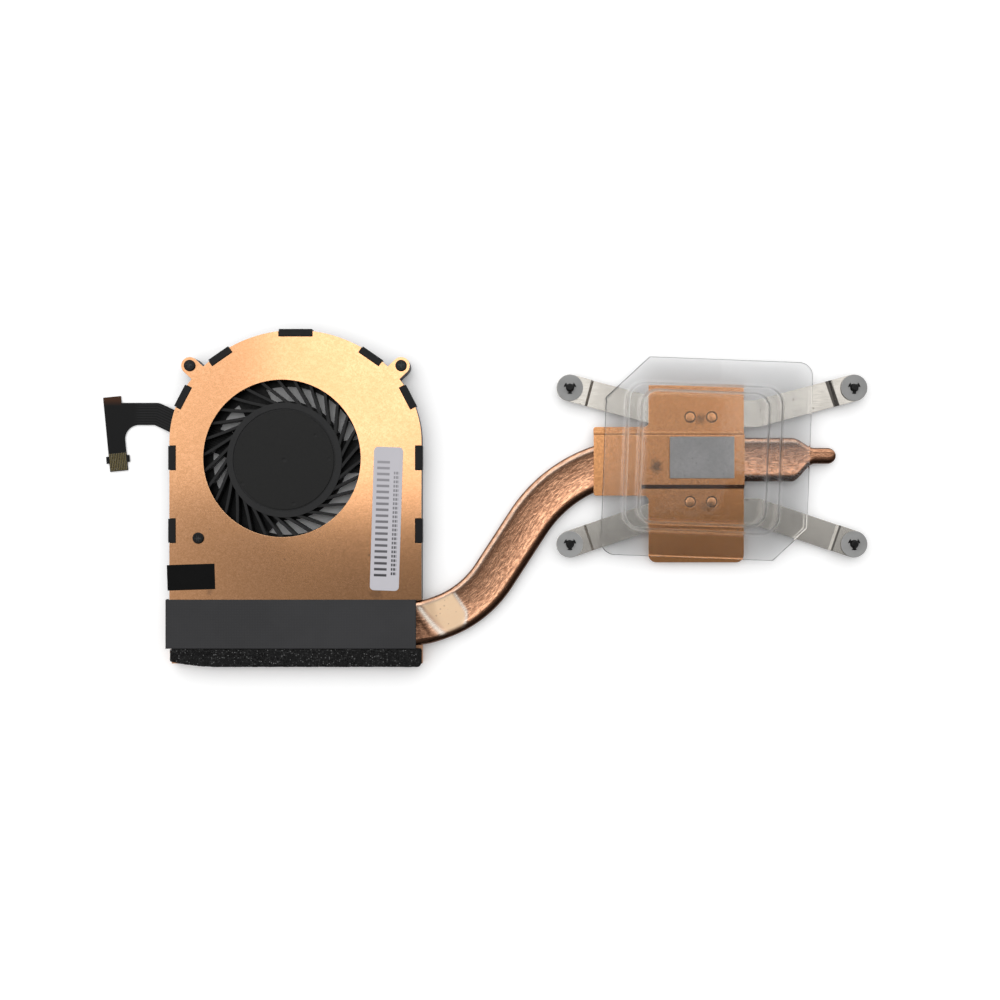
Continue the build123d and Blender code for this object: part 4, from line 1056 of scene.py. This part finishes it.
# Boxes with rounded edges, whose skin is worn away by some depth everywhere but at the bottom
def latticeBox(counts):
    places, faces = {}, []

    def corner(*key):
        return places.setdefault(key, len(places))

    for axis in range(3):
        first, second = [other for other in range(3) if other != axis]
        for end in (0, counts[axis]):
            for i in range(counts[first]):
                for j in range(counts[second]):
                    quad = []
                    for stepI, stepJ in ((0, 0), (1, 0), (1, 1), (0, 1)):
                        key = [0, 0, 0]
                        key[axis], key[first], key[second] = end, i + stepI, j + stepJ
                        quad.append(corner(*key))
                    outward = (end > 0) == (axis != 1)
                    faces.append(tuple(quad if outward else quad[::-1]))
    return list(places), faces


def wornBox(settings, wear, keptBottom=0.02):
    keys, faces = latticeBox(settings["counts"])
    low, high, radius = settings["low"], settings["high"], settings["radius"]
    places = []
    for key in keys:
        spot = [a + (b - a) * step / count for a, b, step, count in zip(low, high, key, settings["counts"])]
        inner = [min(b - radius, max(a + radius, value)) for a, b, value in zip(low, high, spot)]
        out = Vector(spot) - Vector(inner)
        outward = out.normalized()
        place = Vector(inner) + outward * min(out.length, radius)
        if place.z > low[2] + keptBottom:
            place -= outward * wear(place)
        places.append(place)
    return places, faces


# Foam strip: open-cell foam with torn pores, a crowned top and a thinner left end
foamSettings = {
    "low": (-32.7, -59.25, 2.75),
    "high": (39.3, -53.95, 5.55),
    "counts": (260, 20, 10),
    "radius": 0.7,
    "pore": (0.62, 0.2, 2.1),  # cell size, depth and how steep the walls are
    "ragged": (2.3, 0.07),  # length and depth
    "leftTrim": (14.0, 0.3),  # length and share of the depth
    "rightRadius": 1.6,
}


def foamFinish():
    material, tree = newFinish("blackFoam", Roughness=0.9, Specular_IOR_Level=0.12)
    cells = putNode(tree, "ShaderNodeTexVoronoi", feature="DISTANCE_TO_EDGE")
    feed(tree, cells, "Vector", objectPlace(tree))
    feed(tree, cells, "Scale", 1900.0)
    walls = rangeNode(tree, cells.outputs["Distance"], 0.02, 0.2, 1.0, 0.0)
    glints = useEffect(tree, "specks", Scale=1900.0, Radius=0.36, Amount=0.3)
    rareGlints = useEffect(tree, "specks", Scale=1700.0, Radius=0.3, Amount=0.3)
    patches = useEffect(tree, "patches", Scale=300.0)
    # cell hollows darker than their walls are painted shade; glints and rare specks are painted highlights
    tone = layered(tree, grey(0.004), (walls, 1.0, grey(0.03)), (patches, 0.5, grey(0.022)),
                   (glints, 0.6, grey(0.07)), (rareGlints, 0.8, grey(0.2)))
    return finished(material, tone, (walls, 0.9, 0.0003))


def makeFoam(settings):
    low, high, corner = settings["low"], settings["high"], settings["rightRadius"]
    cell, depth, steep = settings["pore"]
    raggedLength, raggedDepth = settings["ragged"]
    trimLength, trimShare = settings["leftTrim"]

    def wear(place):
        pores = noise.voronoi(place / cell)[0][0]
        ragged = noise.noise(place / raggedLength)
        return depth * max(0.0, 1 - steep * pores) + raggedDepth * (1 + ragged)

    places, faces = wornBox(settings, wear)
    for place in places:
        trim = max(0.0, 1 - (place.x - low[0]) / trimLength) ** 2 * trimShare
        place.y = high[1] + (place.y - high[1]) * (1 - trim)
        fromRight = corner - (high[0] - place.x)
        fromFront = corner - (place.y - low[1])
        if fromRight > 0 and fromFront > 0:
            scale = min(1.0, corner / math.hypot(fromRight, fromFront))
            place.x = high[0] - corner + fromRight * scale
            place.y = low[1] + corner - fromFront * scale
    foam = meshPiece("openCellStrip", places, faces, foamFinish(), "foam_strip")


makeFoam(foamSettings)
print("foam made")


# Thermal pad: soft silicone sheet with rolled edges and a faintly uneven top
padSettings = {
    "low": (110.35, -5.25, 3.65),
    "high": (128.85, 6.75, 4.45),
    "counts": (72, 48, 6),
    "radius": 0.22,
    "wave": (3.1, 0.035),  # length and depth
    "grey": (0.47, 0.465, 0.468, 1),
    "grain": (0.58, 0.573, 0.576, 1),
    "speck": (0.24, 0.238, 0.24, 1),
    "patch": (0.36, 0.357, 0.36, 1),
}


def padFinish(settings):
    material, tree = newFinish("padGrey", Specular_IOR_Level=0.25, Roughness=0.7)
    grain = useEffect(tree, "grain", Scale=1700.0)
    specks = useEffect(tree, "specks", Scale=900.0, Radius=0.25, Amount=0.16)
    patches = useEffect(tree, "patches", Scale=150.0)
    tone = layered(tree, settings["grey"], (rangeNode(tree, grain, 0.35, 0.65), 0.6, settings["grain"]),
                   (specks, 0.35, settings["speck"]), (patches, 0.35, settings["patch"]))
    return finished(material, tone, (grain, 0.2, 0.00003))


def makePad(settings):
    length, depth = settings["wave"]
    places, faces = wornBox(settings, lambda place: depth * (1 + noise.noise(place / length)))
    pad = meshPiece("siliconePad", places, faces, padFinish(settings), "thermal_pad")


makePad(padSettings)


# Black skirt under the gaps between each washer's teeth, a dark sheet put there as painted shade, and the
# three-lobed clip on the washer
skirtSettings = {
    "radii": (0.85, 1.9),
    "drop": 0.06,
    "sides": 36,
    "clip": (0.7, 1.2, 0.5, 0.05),  # inner radius, body radius, how far the three lobes reach, height
    "ragged": (0.12, 2.0, 3.7),  # depth, how often round the clip, and how far apart the clips' seeds are
}


def lobedRadius(settings, index, angle):
    body, lobe = settings["clip"][1:3]
    depth, often, apart = settings["ragged"]
    swell = max(0.0, math.cos(3 * (angle + math.pi / 2))) ** 2
    spot = Vector((math.cos(angle) * often, math.sin(angle) * often, index * apart))
    return body + lobe * swell + depth * noise.noise(spot)


def makeSkirt(index, settings):
    screwLow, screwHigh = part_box("captive_screw_%d" % index)
    x, y = ((screwLow[axis] + screwHigh[axis]) / 2 / mm for axis in (0, 1))
    top, washerTop = (corner[2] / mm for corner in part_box("retainer_%d" % index))
    inner, outer = settings["radii"]
    under, sides = top - settings["drop"], settings["sides"]
    hole, clipTop = settings["clip"][0], washerTop + settings["clip"][3]
    rings = [(inner, under), (outer, under), (outer, top), (inner, top),
             (hole, washerTop), (None, washerTop), (None, clipTop), (hole, clipTop)]  # None stands for lobed
    vertices = []
    for radius, z in rings:
        for angle in (math.tau * side / sides for side in range(sides)):
            reach = radius or lobedRadius(settings, index, angle)
            vertices.append((x + reach * math.cos(angle), y + reach * math.sin(angle), z))
    faces = joinRings(4, sides, wrap=True)
    faces += [tuple(4 * sides + corner for corner in face) for face in faces]
    meshPiece("screwSkirt_%d" % index, vertices, faces, plastics["screwBlack"], None, None,
              "captive_%d" % index, smooth=False)


for captive in range(1, 5):
    makeSkirt(captive, skirtSettings)
print("pad and skirts made")


# Pale floor, which keeps the object's soft shadow; its glow is taken away under the fan and near the object,
# and partly through the film, as painted shade
floorSettings = {
    "size": 6.0,
    "z": -0.0001,
    "albedo": (0.86, 0.86, 0.86, 1),
    "lift": 0.38,
    # reach of the painted shade near the object
    "reach": 0.009,
    "throughFilm": 0.65,  # share of the lift that is seen through the film; the rest is painted shade under the film
    "shadeUnderFan": (0.024, 0.006),  # painted shade under the fan, with no lift here: radius and soft edge
}


def makeFloor(settings):
    half = settings["size"] / 2
    mesh = bpy.data.meshes.new("studioFloor")
    corners = [(-half, -half, 0), (half, -half, 0), (half, half, 0), (-half, half, 0)]
    mesh.from_pydata(corners, [], [(0, 1, 2, 3)])
    floor = bpy.data.objects.new("studioFloor", mesh)
    floor.location.z = settings["z"]
    bpy.context.collection.objects.link(floor)
    material, tree = newFinish("floorPaper", Roughness=0.9, Specular_IOR_Level=0.0)
    shader = shaderOf(tree)
    feed(tree, shader, "Base Color", settings["albedo"])
    rays = putNode(tree, "ShaderNodeLightPath").outputs
    # the glow is taken away partly through the film, under the fan and near the object: painted shade
    seen = mathNode(tree, "MAXIMUM", rays["Is Camera Ray"], rays["Is Glossy Ray"])
    filmShade = share(tree, rays["Is Transmission Ray"], 1 - settings["throughFilm"])
    seen = mathNode(tree, "SUBTRACT", seen, filmShade, clamp=True)
    radius, soft = settings["shadeUnderFan"]
    seen = share(tree, seen, opposite(tree, useEffect(tree, "spot", Radius=radius, Soft=soft)))
    aoShade = putNode(tree, "ShaderNodeAmbientOcclusion", samples=8)
    feed(tree, aoShade, "Distance", settings["reach"])
    glow = putNode(tree, "ShaderNodeEmission")
    feed(tree, glow, "Strength", share(tree, share(tree, seen, aoShade.outputs["AO"]), settings["lift"]))
    both = putNode(tree, "ShaderNodeAddShader")
    tree.links.new(shader.outputs[0], both.inputs[0])
    tree.links.new(glow.outputs[0], both.inputs[1])
    tree.links.new(both.outputs[0], tree.nodes["Material Output"].inputs["Surface"])
    mesh.materials.append(material)


makeFloor(floorSettings)

print("scene ready")
